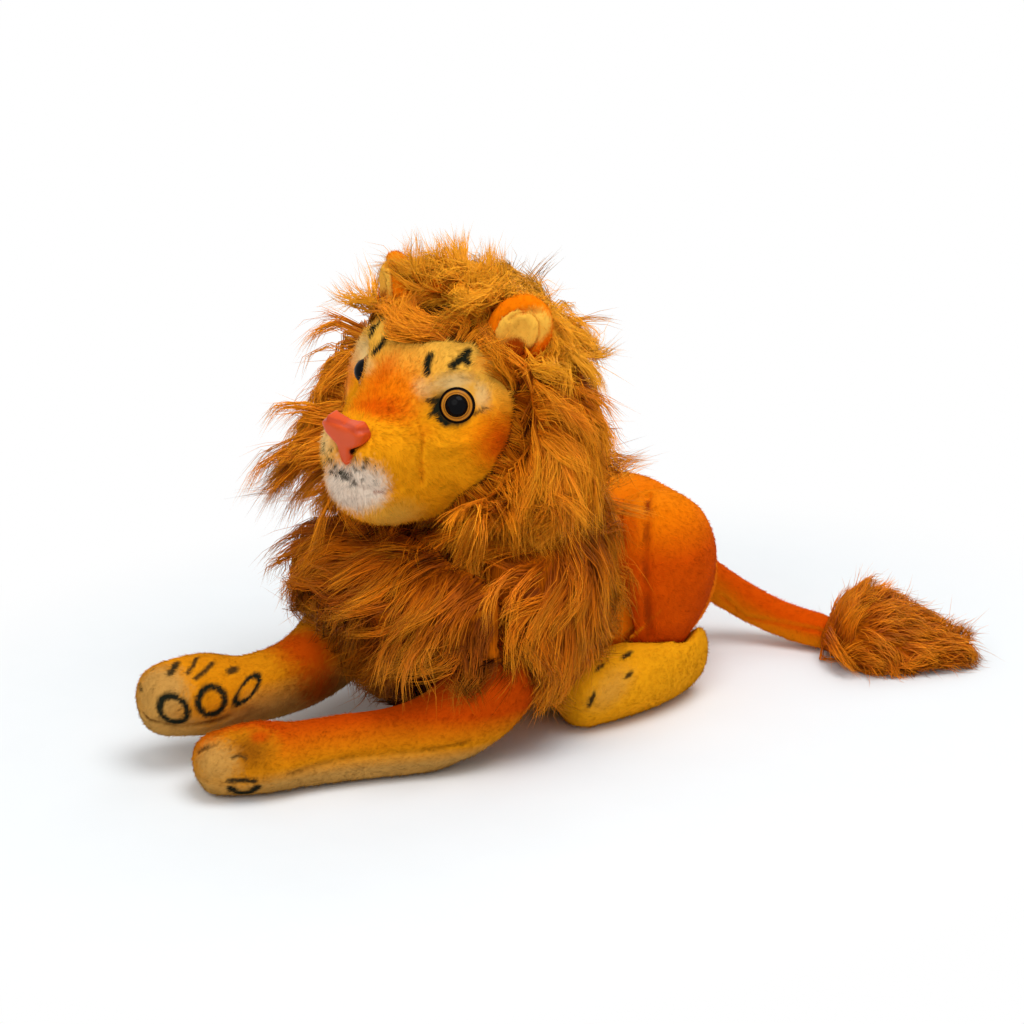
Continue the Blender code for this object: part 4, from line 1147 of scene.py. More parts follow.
class MakeEars(bpy.types.Operator):
    """Makes the ears and their linings"""

    bl_idname = "plush_lion.ears"
    bl_label = "Ears"
    bl_options = {"REGISTER", "UNDO"}

    def execute(self, context):
        plush = context.scene.lion_plush
        mane = context.scene.lion_mane
        for side in SIDES:
            shell_nodes, inner_nodes = [f"ear_{side}"], [f"ear_lining_{side}"]
            bm = skin_bmesh(shell_nodes, 0.0016, 3)
            shell = soft_skin(f"ear_shell_{side}", bm, None, shell_nodes)
            bm = skin_bmesh(inner_nodes, 0.0009, 5, grow=0.0006)
            inner = soft_skin(f"ear_inner_{side}", bm, None, inner_nodes)
            low, high = (np.array(corner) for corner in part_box(inner_nodes[0]))
            if side == "left":
                ear_tree = tree_of(shell, inner)
                fold = line_on(ear_tree, [(510, 320), (518, 314), (530, 311), (541, 313)])
                patches = [
                    spot(ear_tree, 529, 328, 21, 21, 0, plush.straw, 1.0, 0.3),
                    # Painted shade in the ear's hollow.
                    spot(ear_tree, 516, 346, 15, 12, 0, mane.root, 1.0, 0.6),
                    Stroke(fold, 0.0012, plush.rust, 0.7),
                ]
            coats = on_side(side, patches, HEAD_MIDDLE, HEAD_ACROSS)
            lining = self.ground(low[2], high[2], plush.straw, mane.root)
            rows = (
                (shell, (plain(plush.orange), coats), "ear_shell_pile", "orange_plush"),
                (inner, (lining, coats), "ear_inner_pile", "yellow_plush"),
            )
            for piece in (shell, inner):
                pinch(piece, coats[-1].line, 0.0012, 0.0013)
            for piece, coat, name, slot in rows:
                set_dye(piece, coat)
                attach(pile(f"{name}_{side}", piece, coat, upward, 5, length=0.0018), "head")
                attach(piece, "head")
            SKINS[f"ear_{side}"] = shell
        return {"FINISHED"}

    @staticmethod
    def ground(low, high, pale, dark):
        """The lining is painted dark deep down, as shade in the ear's hollow, and pale where it folds over."""

        def colour(points, normals):
            up = smooth(low + 0.10 * (high - low), low + 0.55 * (high - low), points[:, 2])[:, None]
            return np.array(dark) * (1 - up) + np.array(pale) * up

        return colour


def eye_place(side):
    """The top of an eye and the way it looks."""
    flat = math.cos(EYE_RAISE)
    look = Vector((flat * math.cos(EYE_TURN), SIDES[side] * flat * math.sin(EYE_TURN), math.sin(EYE_RAISE)))
    axis = np.array(HEAD_TURN @ look)
    points, _ = coordinates(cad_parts[f"eye_{side}"].data)
    return points[np.argmax(points @ axis)], axis


class MakeEyes(bpy.types.Operator):
    """Makes the glossy eyes"""

    bl_idname = "plush_lion.eyes"
    bl_label = "Eyes"
    bl_options = {"REGISTER", "UNDO"}

    def execute(self, context):
        face = context.scene.lion_face
        for side in SIDES:
            top, axis = (Vector(row.tolist()) for row in eye_place(side))
            place = Matrix.Translation(top) @ axis.to_track_quat("Z", "Y").to_matrix().to_4x4()
            bm = self.dome(face)
            bmesh.ops.transform(bm, matrix=place, verts=bm.verts)
            bmesh.ops.recalc_face_normals(bm, faces=bm.faces)
            piece = new_piece(f"eye_dome_{side}", bm, self.finish(f"eye_{side}", top, axis, face))
            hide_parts(f"eye_{side}")
            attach(piece, "head")
        return {"FINISHED"}

    @staticmethod
    def dome(face):
        """A domed button on a shank, its top at the origin, spun round its axis."""
        radius, bulge = face.eye_radius, face.eye_bulge
        profile = [(0, 0)]
        pupil_sphere, pupil_reach, steps = 0.69 * radius, math.radians(64), 8
        for step in range(1, steps + 1):
            angle = step / steps * pupil_reach
            profile.append((pupil_sphere * math.sin(angle), -bulge * (1 - math.cos(angle))))
        for share in (0.68, 0.75, 0.82, 0.89, 0.95, 1.0):
            profile.append((share * radius, -bulge * (0.60 + 0.40 * ((share - 0.62) / 0.38) ** 1.6)))
        shank, back, end = 0.0022, bulge + 0.0014, bulge + 0.0064
        profile += [
            (radius * 0.99, -bulge - 0.0006),
            (radius * 0.9, -bulge - 0.0012),
            (shank, -back),
            (shank, 0.0002 - end),
            (0, -end),
        ]
        bm = bmesh.new()
        points = [bm.verts.new((x, 0, z)) for x, z in profile]
        for a, b in zip(points, points[1:]):
            bm.edges.new((a, b))
        turn = {"cent": (0, 0, 0), "axis": (0, 0, 1), "angle": math.tau, "steps": 64, "use_merge": True}
        bmesh.ops.spin(bm, geom=bm.verts[:] + bm.edges[:], **turn)
        bmesh.ops.remove_doubles(bm, verts=bm.verts, dist=WELD)
        return bm

    @staticmethod
    def finish(name, top, axis, face):
        """Glossy plastic: a black pupil, a ring with a dark line round it, and a black rim."""
        finish = Finish(name)
        turn = axis.to_track_quat("Z", "Y").to_euler()
        local = finish.node(
            "ShaderNodeMapping",
            {"vector_type": "TEXTURE"},
            {"Vector": finish.place(), "Location": top, "Rotation": turn, "Scale": (face.eye_radius,) * 3},
        )
        flat = finish.node("ShaderNodeVectorMath", {"operation": "MULTIPLY"}, {0: local, 1: (1, 1, 0)})
        reach = finish.node("ShaderNodeVectorMath", {"operation": "LENGTH"}, {0: flat}, "Value")
        black = paint(10, 9, 11)
        line = reach.ramp(0.63, 0.66) * (1 - reach.ramp(0.69, 0.73))
        amber = finish.mix(reach.ramp(0.70, 0.90) * 0.25, face.amber, face.bronze)
        colour = finish.mix(line * 0.75, amber, face.bronze)
        colour = finish.mix(1 - reach.ramp(0.59, 0.62), colour, black)
        colour = finish.mix(reach.ramp(0.79, 0.83), colour, black)
        gloss = {"Roughness": 0.12, "Specular IOR Level": 0.04, "Coat Weight": 0.02, "Coat Roughness": 0.03}
        return finish.surface({"Base Color": colour, **gloss})


class MakeNose(bpy.types.Operator):
    """Makes the moulded nose, and finishes the washers behind the eyes and nose"""

    bl_idname = "plush_lion.nose"
    bl_label = "Nose"
    bl_options = {"REGISTER", "UNDO"}

    def execute(self, context):
        face = context.scene.lion_face
        bm = applied(node_bmesh(["nose"], 0.0), "nose", remesh(0.0006))
        keep_largest(bm)
        for _ in range(3):
            evened(bm)
        piece = new_piece("nose_pad", bm, finish_of("nose_plastic", moulded_finish))
        tree = tree_of(piece)
        groove = line_on(tree, [(364, 444), (359, 447), (354, 451)])
        crease = line_on(tree, [(345, 424), (356, 431), (370, 430)])
        # Painted shade: the nostril's groove is near black and the crease over the nose is darker.
        strokes = [
            Stroke(groove, 0.0027, paint(40, 10, 6), 1.0, 0.5),
            Stroke(crease, 0.0018, paint(160, 50, 26), 0.6),
        ]
        for stroke, width, depth in ((strokes[0], 0.0013, 0.0016), (strokes[1], 0.0014, 0.0006)):
            for half in (stroke.line, stroke.mirrored(HEAD_MIDDLE, HEAD_ACROSS).line):
                pinch(piece, half, width, depth)
        strokes += [stroke.mirrored(HEAD_MIDDLE, HEAD_ACROSS) for stroke in strokes]
        set_dye(piece, (plain(face.salmon), strokes))
        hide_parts("nose")
        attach(piece, "head")
        washer = finish_of("washer_plastic", lambda n: plastic_finish(n, paint(228, 228, 222), 0.5))
        for node in ("eye_washer_left", "eye_washer_right", "nose_washer"):
            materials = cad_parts[node].data.materials
            materials.clear()
            materials.append(washer)
        return {"FINISHED"}


class MakeForelegs(bpy.types.Operator):
    """Makes the forelegs with their paws and soles"""

    bl_idname = "plush_lion.forelegs"
    bl_label = "Forelegs"
    bl_options = {"REGISTER", "UNDO"}

    def execute(self, context):
        plush = context.scene.lion_plush
        for side in SIDES:
            nodes, soles = [f"foreleg_{side}", f"forepaw_{side}"], [f"forepaw_sole_{side}"]
            bm = skin_bmesh(nodes + soles, 0.0029, 3, grow=0.0004, swell=0.0012)
            leg_bm, sole_bm = self.split(bm, solid_tree(nodes), solid_tree(soles))
            leg = soft_skin(f"foreleg_skin_{side}", leg_bm, None, nodes)
            sole = soft_skin(f"sole_skin_{side}", sole_bm, None, soles)
            SKINS[f"leg_{side}"], SKINS[f"sole_{side}"] = leg, sole
            seen_tree = tree_of(leg, sole)
            ground, patches, seams = getattr(self, side)(plush, seen_tree)
            for seam in seams:
                for piece in (leg, sole):
                    pinch(piece, seam, 0.0015, 0.0011)
                patches.append(Stroke(seam, 0.0016, plush.stitch, 0.9, 0.8))
            rows = (
                (leg, (ground, patches), f"foreleg_pile_{side}", "orange_plush"),
                (sole, (ground, patches), f"sole_pile_{side}", "tan_plush"),
            )
            for piece, coat, name, slot in rows:
                set_dye(piece, coat)
                grown = pile(name, piece, coat, forward_down, 7, under=MANE_ON_BODY)
                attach(grown, f"foreleg_{side}")
                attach(piece, f"foreleg_{side}")
                self.close(piece.data)
        return {"FINISHED"}

    @staticmethod
    def split(bm, leg_tree, sole_tree):
        """The skin's leg and its sole, which meet edge to edge."""
        other = bm.copy()
        for part, keeps in ((bm, leg_tree), (other, sole_tree)):
            drops = sole_tree if keeps is leg_tree else leg_tree
            gone = []
            for face in part.faces:
                centre = face.calc_center_median()
                mine, theirs = keeps.find_nearest(centre)[3], drops.find_nearest(centre)[3]
                if theirs < mine or (theirs == mine and keeps is sole_tree):
                    gone.append(face)
            bmesh.ops.delete(part, geom=gone, context="FACES")
        return bm, other

    @staticmethod
    def close(mesh):
        """Fills the rim that is open at the sole's seam with a wall inside the paw."""
        bm = bmesh.new()
        bm.from_mesh(mesh)
        rim = [edge for edge in bm.edges if edge.is_boundary]
        for edge in rim:
            edge.smooth = False
        walls = bmesh.ops.holes_fill(bm, edges=rim, sides=0)["faces"]
        bmesh.ops.triangulate(bm, faces=walls)
        bmesh.ops.recalc_face_normals(bm, faces=bm.faces)
        bm.to_mesh(mesh)
        bm.free()

    @staticmethod
    def left(plush, tree):
        """The left foreleg's ground, its painted spots and its seams."""
        stops = [
            (0.008, plush.tan),
            (0.015, plush.ochre),
            (0.028, plush.deep),
            (0.045, plush.deep),
            (0.07, plush.rust),
        ]
        patches = [
            spot(tree, 240, 752, 54, 40, 10, plush.ochre, 0.95, 0.6, depth=0.04),
            # Painted shade over the top of the near paw.
            spot(tree, 250, 750, 40, 30, 0, plush.painted_shade, 0.95, 0.9, depth=0.04),
            spot(tree, 214, 762, 32, 34, 45, plush.tan, 0.9, 0.7, depth=0.03),
            spot(tree, 260, 736, 15, 9, 0, plush.deep, 0.8, 0.8),
            Stroke(line_on(tree, [(233, 757), (240, 756), (246, 758)]), 0.0011, plush.ink, 0.75),
            Stroke(line_on(tree, [(190, 757), (199, 750), (209, 745), (217, 743)]), 0.0011, plush.ink, 0.85),
            Stroke(line_on(tree, [(230, 781), (243, 780), (256, 781)]), 0.0018, plush.ink, 0.95),
            Stroke(line_on(tree, [(231, 788), (240, 793), (251, 792), (258, 787)]), 0.0026, plush.ink, 1.0),
        ]
        seams = [line_on(tree, [(290, 775), (320, 765), (350, 757), (400, 753), (440, 749), (470, 742)])]
        seams.append(line_on(tree, [(189, 760), (198, 752), (208, 747), (217, 743)]))
        return by_height(stops), patches, seams

    @staticmethod
    def right(plush, tree):
        """The right foreleg's ground, its painted spots and its seams."""
        stops = [(0.024, plush.tan), (0.036, plush.ochre), (0.05, plush.ochre), (0.08, plush.orange)]
        rings = (((174, 710), 15, 12, -35), ((212, 701), 14, 13, 60), ((248, 689), 17, 6.5, 52))
        patches = [
            # Painted shadow of the mane on the far foreleg, near the chest.
            spot(tree, 318, 690, 40, 30, 0, plush.painted_shade, 0.9, 0.9, depth=0.04),
            spot(tree, 304, 646, 60, 34, -22, plush.deep, 0.95, 0.8, depth=0.05),
            spot(tree, 212, 680, 50, 48, 20, plush.ochre, 0.95, 0.5, depth=0.04),
            spot(tree, 158, 692, 36, 36, 50, plush.tan, 0.95, 0.5, depth=0.04),
            Stroke(line_on(tree, [(182, 656), (177, 664), (171, 673)]), 0.0024, plush.ink, 0.95),
            Stroke(line_on(tree, [(197, 658), (193, 666), (188, 673)]), 0.0015, plush.ink, 0.9),
            Stroke(line_on(tree, [(213, 663), (205, 671), (196, 678)]), 0.0016, plush.ink, 0.9),
            spot(tree, 233, 670, 9, 5, 20, plush.ink, 0.9, 0.5),
            Stroke(line_on(tree, [(139, 675), (140, 683), (142, 690)]), 0.0013, plush.ink, 0.8),
            Stroke(line_on(tree, [(162, 657), (157, 664), (154, 669)]), 0.0011, plush.ink, 0.7),
        ]
        for (x, y), length, width, angle in rings:
            patches.append(spot(tree, x, y, length, width, angle, plush.ink, 1.0, 0.6, 0.36))
        seams = [line_on(tree, [(142, 714), (160, 723), (179, 727), (198, 725), (229, 717)])]
        return by_height(stops), patches, seams


class MakeTail(bpy.types.Operator):
    """Makes the tail"""

    bl_idname = "plush_lion.tail"
    bl_label = "Tail"
    bl_options = {"REGISTER", "UNDO"}

    def execute(self, context):
        plush = context.scene.lion_plush
        tail = soft_skin("tail_skin", skin_bmesh(["tail"], 0.0022, 3), None, ["tail"])
        seam = line_on(tree_of(tail), [(722, 596), (745, 617), (780, 637), (822, 648)])
        pinch(tail, seam, 0.0012, 0.0010)
        coat = (self.ground(plush), [Stroke(seam, 0.0010, plush.seam, 0.6)])
        set_dye(tail, coat)
        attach(pile("tail_pile", tail, coat, backward, 8), "tail")
        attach(tail, "tail")
        SKINS["tail"] = tail
        return {"FINISHED"}

    @staticmethod
    def ground(plush):
        def colour(points, normals):
            up = smooth(-0.6, 0.6, normals[:, 2])[:, None]
            low = (np.array(plush.yellow) + 2 * np.array(plush.orange)) / 3.4
            return low * (1 - up) + np.array(plush.rust) * up

        return colour


# How the locks of the long pile lie and how their strands leave them
SWAY_LENGTH = 0.055
LOCK_LIFT = 0.0026
LOCK_CURL = 0.0018
LOCK_NEAR = 0.012
CLUMP = 0.52
LOOSE_SHARE = 0.10
LOOSE_CURL = 0.0042
LOOSE_LIFT = 0.0035
STRAND_ROOT = 0.0005
SKIN_ROOM = 0.004
PANEL_ROOM = 0.007
LOCK_TONES = 0.13
STRAND_TONES = 0.15
BRIGHT_SHARE = 0.12
BRIGHT_TONE = 1.35
# The way that an upstanding tuft points, and where the tail's tuft is rooted
TUFT_WAY = np.array((-0.10, 0.05, 1.0))
TUFT_ROOT = np.array((-0.122, 0.034, 0.012))
# The room round the solids that the fur may take
PROUD = 0.009
PROUD_SHARE = 0.03
CAD_LOW, CAD_HIGH = np.array(CAD_BOX[0]), np.array(CAD_BOX[1])
ROOM = PROUD_SHARE * (CAD_HIGH - CAD_LOW) + PROUD
FUR_LOW = np.maximum(CAD_LOW - ROOM, (-1, -1, STRAND_ROOT))
FUR_HIGH = CAD_HIGH + ROOM


class Panel:
    """One panel of long pile: its node, its body, the way that it is combed, and how long and thick it is.

    inset: how far its cloth lies under the solid; length, rise, droop and stray: a lock's length, how steeply it
    leaves the cloth, how much it hangs, and how far it strays from the comb; sway: how much the comb swings;
    locks and strands: how many; steps: points to a strand; hem: the height under which it is shorter; shorter: a
    function for its length; tufts: places of the photograph where it stands up, and how wide; tone, gold and
    shade: how bright, how golden, and how much painted shade darkens it low down; turn: how its streaks lie;
    part: the share of the cloth that it covers.
    """

    inset, length, rise, droop, stray, sway = 0.0045, 0.036, 0.3, 0.3, 0.2, 0.55
    locks, strands, steps, part = 300, 6000, 4, 1.0
    tone, gold, shade = 1.0, 0.0, 0.0
    hem, shorter, tufts, turn = 0.0, None, (), (0.0, 0.0, 0.0)

    def __init__(self, node, body, comb, **values):
        self.node = node
        self.body = body
        self.comb = comb
        for name, value in values.items():
            setattr(self, name, value)

    @property
    def name(self):
        return self.node.replace("mane_", "")


def parted(points, clear):
    """Points moved out of the balls that have to stay clear of fur."""
    for centre, radius in clear:
        away = points - centre
        gap = np.linalg.norm(away, axis=-1, keepdims=True)
        points = np.where(gap < radius, centre + away / np.maximum(gap, TINY) * radius, points)
    return points


def within_box(points):
    """Points kept inside the room that the pile may take."""
    return np.clip(points, FUR_LOW, FUR_HIGH)


def lock_guides(panel, tree, places, ways, draw, clear, tufts):
    """The middle line of each lock, laid over the cloth."""
    count = len(places)
    length = panel.length * draw.uniform(0.75, 1.2, count)
    if panel.hem:
        length *= 0.35 + 0.65 * smooth(0.25 * panel.hem, panel.hem, places[:, 2])
    if panel.shorter:
        length *= panel.shorter(places)
    phase = draw.uniform(0, math.tau, count)
    bend = draw.normal(0, panel.stray, count)
    rise = np.clip(draw.normal(panel.rise, 0.12, count), 0.05, 1.3)
    up = np.zeros(count)
    for centre, radius in tufts:
        near = 1 - smooth(0.3 * radius, radius, np.linalg.norm(places - centre, axis=1))
        up = np.maximum(up, near)
    point, normal = places.copy(), ways.copy()
    paths = [point]
    for number in range(1, panel.steps):
        share = number / (panel.steps - 1)
        flow = panel.comb(point, normal)
        flow = unit(flow - normal * (flow * normal).sum(1, keepdims=True))
        turn = panel.sway * sway(point, 3, SWAY_LENGTH) + bend + 0.35 * np.sin(phase + share * 4.5)
        side = np.cross(normal, flow)
        way = flow * np.cos(turn)[:, None] + side * np.sin(turn)[:, None]
        way = way + normal * (rise * (1 - 1.3 * share))[:, None]
        way[:, 2] -= panel.droop * share
        way = unit(way) * (1 - up[:, None]) + TUFT_WAY * up[:, None]
        point = point + unit(way) * (length * (1 - 0.35 * up) / (panel.steps - 1))[:, None]
        point = within_box(parted(point, clear))
        normal = normal.copy()
        for index in range(count):
            near, facing, _, gap = tree.find_nearest(Vector(point[index]))
            lift = LOCK_LIFT * (0.4 + math.sin(math.pi * min(share, 0.8)))
            height = (Vector(point[index]) - near).dot(facing)
            if height < lift and gap < 0.02:
                point[index] += np.array(facing) * (lift - height)
            if gap < LOCK_NEAR:
                normal[index] = facing
        paths.append(point)
    return np.stack(paths, axis=1)


def cloth_of(panel):
    """The thick low coat of one panel, which stands for its node."""
    mane = bpy.context.scene.lion_mane
    bm = skin_bmesh([panel.node], 0.0040, 3, inset=panel.inset, levels=0)
    kind = "undercoat" if not any(panel.turn) else f"undercoat_{panel.name}"
    cloth = new_piece(f"{panel.name}_cloth", bm, finish_of(kind, lambda n: undercoat_finish(n, panel.turn)))
    ground = np.array(mane.root) * 0.4 + np.array(mane.middle) * 0.6
    write_attributes(cloth.data, np.tile(toned_dye(ground, panel.tone), (len(cloth.data.vertices), 1)))
    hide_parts(panel.node)
    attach(cloth, panel.body)
    return cloth


def fur(panel, seed, cloth, clear, solids, keep_more=None):
    """The long strands of one panel, rooted on a cloth."""
    mane = bpy.context.scene.lion_mane
    name = panel.name
    draw = np.random.default_rng(SEED + 500 + seed)
    tree = tree_of(cloth, SKINS["head"]) if panel.body == "head" else tree_of(cloth)
    skins_clear = open_to_air([tree_of(piece) for piece in SKINS.values() if piece is not cloth], SKIN_ROOM)
    others = [] if keep_more else [other for node, other in solids.items() if node != panel.node]
    others_clear = open_to_air(others, PANEL_ROOM)

    def keep(places, ways):
        good = keep_more(places) if keep_more else np.ones(len(places), bool)
        good[good] = skins_clear(places[good], ways[good]) & others_clear(places[good], ways[good])
        return good

    tufts = [(np.array(seen(tree, x, y)[0]), radius) for x, y, radius in panel.tufts]
    area = sum(polygon.area for polygon in cloth.data.polygons) * panel.part
    places, ways = scattered(cloth, area / (panel.locks * 2), 50 + seed, keep)
    places, ways = places[: panel.locks], ways[: panel.locks]
    guides = lock_guides(panel, tree, places, ways, draw, clear, tufts)
    roots, facing = scattered(cloth, area / (panel.strands * 2), 80 + seed, keep)
    roots, facing = roots[: panel.strands], facing[: panel.strands]
    gaps = ((roots[:, None] - places[None]) ** 2).sum(-1) + draw.uniform(0, 0.00001, (len(roots), len(places)))
    gaps += 0.0004 * (1 - facing @ ways.T)
    owner = gaps.argmin(1)
    guide = guides[owner]
    steps = panel.steps
    share = np.linspace(0, 1, steps)
    where = share[None] * draw.uniform(0.7, 1.0, len(roots))[:, None] * (steps - 1)
    low = np.clip(np.floor(where).astype(int), 0, steps - 2)
    part = (where - low)[..., None]
    rows = np.arange(len(roots))[:, None]
    path = guide[rows, low] * (1 - part) + guide[rows, low + 1] * part
    loose = draw.random(len(roots)) < LOOSE_SHARE
    gather = np.where(loose, -0.4, CLUMP)[:, None]
    apart = (roots - guide[:, 0])[:, None] * (1 - gather * share[None] ** 1.2)[..., None]
    curl = draw.normal(0, 1, (len(roots), 1, 3)) * np.where(loose, LOOSE_CURL, LOCK_CURL)[:, None, None]
    lift = facing[:, None] * (np.where(loose, LOOSE_LIFT, 0.0)[:, None] * share[None])[..., None]
    path = path + apart + (curl + lift) * (share**1.5)[None, :, None]
    path[:, 1:] = within_box(parted(path[:, 1:], clear))
    path[:, 0] = np.maximum(roots - facing * STRAND_ROOT, FUR_LOW)
    widths = mane.strand_width * draw.uniform(0.7, 1.25, len(roots)) * np.where(loose, 0.7, 1.0)
    lock_tone = draw.normal(1, LOCK_TONES, len(places))[owner] * draw.normal(1, STRAND_TONES, len(roots)) * panel.tone
    bright = np.where(draw.random(len(roots)) < BRIGHT_SHARE, BRIGHT_TONE, 1.0)
    tone = np.clip(lock_tone * bright, 0.45, 1.9)[:, None]
    # Painted shade: the strands are darker low down, most on the chest under the head.
    tone *= (1 - panel.shade * (1 - smooth(0.03, 0.10, roots[:, 2])))[:, None]
    gilt = np.clip(panel.gold + 0.9 * (tone - 1), 0, 0.85)
    # The dark roots are partly painted shade deep in the locks.
    stops = [np.array(mane.root) + (np.array(mane.middle) - np.array(mane.root)) * panel.gold]
    stops += [np.array(mane.middle), np.array(mane.tip)]
    dyes = np.stack([toned_dye(colour * (1 - gilt) + np.array(mane.gold) * gilt, tone) for colour in stops], axis=1)
    shown = unit(facing + 0.45 * unit(roots - guide[:, 0] + facing * 0.002))
    mesh = fibres_mesh(f"{name}_fur", path, widths, dyes, shown, 0.45, 0.7)
    piece = new_piece(f"{name}_fur", mesh, finish_of("long_pile", fur_finish))
    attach(piece, panel.body)


# Where the face's short pile ends, as the photograph shows it from the forehead round to the chin
FACE_OUTLINE = (
    (398, 337),
    (428, 342),
    (456, 343),
    (478, 347),
    (496, 364),
    (508, 388),
    (512, 408),
    (509, 430),
    (500, 452),
    (484, 476),
    (458, 494),
)


class FaceEdge:
    """How far points of the head lie behind the seam between the face and the mane, the same on both sides."""

    def __init__(self, tree):
        rows = head_local(np.array(line_on(tree, FACE_OUTLINE)))
        angles = np.abs(np.arctan2(rows[:, 1], rows[:, 2]))
        order = np.argsort(angles)
        self.angles, self.limits = angles[order], rows[order, 0]

    def behind(self, points):
        local = head_local(points)
        return np.interp(np.abs(np.arctan2(local[:, 1], local[:, 2])), self.angles, self.limits) - local[:, 0]


class Behind:
    """Painted shade behind the face's seam: the head's skin is dark there, under the mane."""

    def __init__(self, edge, colour):
        self.edge = edge
        self.colour = colour

    def cover(self, points, jitter):
        return smooth(-0.0005, 0.0010, self.edge.behind(points) + 0.004 * jitter)


def edge_comb(points, normals):
    """Beside the face the fur stands out and back; over the forehead it sweeps to one side."""
    local = head_local(points)
    out = unit(local[:, 1:])
    top = 1 - smooth(0.25, 0.75, np.abs(np.arctan2(local[:, 1], local[:, 2])))[:, None]
    side = np.stack((np.full(len(points), -0.5), 0.6 * out[:, 0], 0.4 * out[:, 1] - 0.55), axis=1)
    over = np.stack((np.full(len(points), 0.3), -0.6 + 9 * local[:, 1], np.full(len(points), 0.25)), axis=1)
    far = 1 - smooth(-0.013, -0.003, local[:, 1])[:, None]
    over = over * (1 - far) + np.array((-0.5, -0.25, 0.8)) * far
    return by_ear(points, (side * (1 - top) + over * top) @ HEAD_AXES.T)


def by_ear(points, ways):
    """Beside an ear's foot the fur stands up against it."""
    for side in SIDES:
        low, high = (np.array(corner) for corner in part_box(f"ear_lining_{side}"))
        foot = np.array(((low[0] + high[0]) / 2, (low[1] + high[1]) / 2, low[2]))
        near = 1 - smooth(0.008, 0.020, np.linalg.norm(points - foot, axis=1))[:, None]
        ways = ways * (1 - near) + np.array((0.25, 0.0, 0.95)) * near
    return ways


def crown_comb(points, normals):
    """The crown's fur stands up in the middle, and falls to each side and behind."""
    x, y, _ = head_local(points).T
    up = 0.8 - 26 * np.maximum(np.abs(y) - 0.014, 0) - 16 * np.maximum(-x - 0.03, 0)
    return np.stack((14 * (x + 0.012), 14 * y, up), axis=1) @ HEAD_AXES.T


def nape_comb(points, normals):
    local = head_local(points)
    way = np.stack((np.full(len(points), -0.35), 9 * local[:, 1], np.full(len(points), -0.8)), axis=1)
    return way @ HEAD_AXES.T


def cheek_comb(points, normals):
    """The cheeks' fur runs out and back from the face above, and forward under the chin below."""
    local = head_local(points)
    middle = local[:, 1:] - np.array((0.0, -0.010))
    out = unit(middle)
    under = 1 - smooth(-0.035, -0.005, local[:, 2])
    up = 0.8 * out[:, 1] - 0.45 - 0.2 * under
    way = np.stack((-0.4 + 0.75 * under, out[:, 0] * (1 - 0.55 * under), up), axis=1)
    return by_ear(points, way @ HEAD_AXES.T)


def chest_comb(points, normals):
    """The chest's fur sweeps across it from the left shoulder to the right, and falls at its right side."""
    share = smooth(-0.05, 0.05, points[:, 1])
    across = smooth(-0.055, -0.015, points[:, 1])
    up = -0.45 - 0.4 * share - 0.5 * (1 - across)
    return np.stack((0.15 + 0.3 * across, (-0.60 + 0.40 * share) * across, up), axis=1)


def shoulder_comb(points, normals):
    """The shoulders' fur falls, forward in front and back behind."""
    side = np.sign(points[:, 1])
    front = smooth(-0.01, 0.03, points[:, 0])
    return np.stack((-0.55 + 0.9 * front, side * (0.25 - 0.4 * front), np.full(len(points), -0.85)), axis=1)


def far_side(points):
    """How much shorter the body's fur is at its right side."""
    return 1 - 0.5 * (1 - smooth(-0.06, -0.025, points[:, 1])) * (1 - smooth(0.07, 0.095, points[:, 2]))


def high_back(points):
    """How much shorter the fur is where the neck comes down to the back."""
    return 1 - 0.5 * (1 - smooth(-0.022, 0.006, points[:, 0])) * smooth(0.08, 0.105, points[:, 2])


def tuft_end(points):
    """How much shorter the tuft's fur is towards its end."""
    return 1 - 0.65 * smooth(0.028, 0.052, np.linalg.norm(points - TUFT_ROOT, axis=1))


def tuft_comb(points, normals):
    """The tuft's fur runs out from the tail's end."""
    return unit(points - TUFT_ROOT) + normals * 0.3


PANELS = (
    Panel("mane_crown", "head", crown_comb, inset=0.007, length=0.029, rise=0.5, strands=9500, locks=420, tone=1.45,
          gold=0.65, droop=0.1, tufts=((371, 290, 0.010), (456, 275, 0.012), (492, 284, 0.009))),
    Panel("mane_nape", "head", nape_comb, strands=4000),
    Panel("mane_cheek_left", "head", cheek_comb, inset=0.0035, length=0.036, rise=0.45, strands=8000, tone=0.98,
          gold=0.1, shorter=high_back),
    Panel("mane_cheek_right", "head", cheek_comb, inset=0.0035, length=0.045, rise=0.55, strands=7500, droop=0.32,
          gold=0.15),
    Panel("mane_chest", "torso", chest_comb, length=0.046, rise=0.2, strands=8000, locks=320, tone=0.66, droop=0.2,
          sway=0.75, hem=0.08, steps=5, shade=0.5, shorter=far_side),
    Panel("mane_shoulder_left", "torso", shoulder_comb, length=0.048, rise=0.22, strands=8000, locks=360, tone=0.84,
          sway=0.65, hem=0.10, steps=5, shade=0.15, shorter=high_back),
    Panel("mane_shoulder_right", "torso", shoulder_comb, length=0.044, rise=0.42, strands=6500, locks=320, tone=0.86,
          sway=0.65, hem=0.06, steps=5, shade=0.15, shorter=far_side),
    Panel("tail_tuft", "tail", tuft_comb, length=0.036, rise=0.6, strands=5500, locks=130, droop=0.03, tone=0.74,
          inset=0.003, stray=0.4, shorter=tuft_end, turn=(0.0, 1.57, 2.45),
          tufts=((872, 600, 0.011), (948, 632, 0.008))),
)
EDGE = Panel("face_edge", "head", edge_comb, length=0.024, rise=0.6, strands=9000, locks=520, tone=0.95, gold=0.2,
             droop=0.1, sway=0.35, part=0.1)
EDGE_WIDTH = 0.011


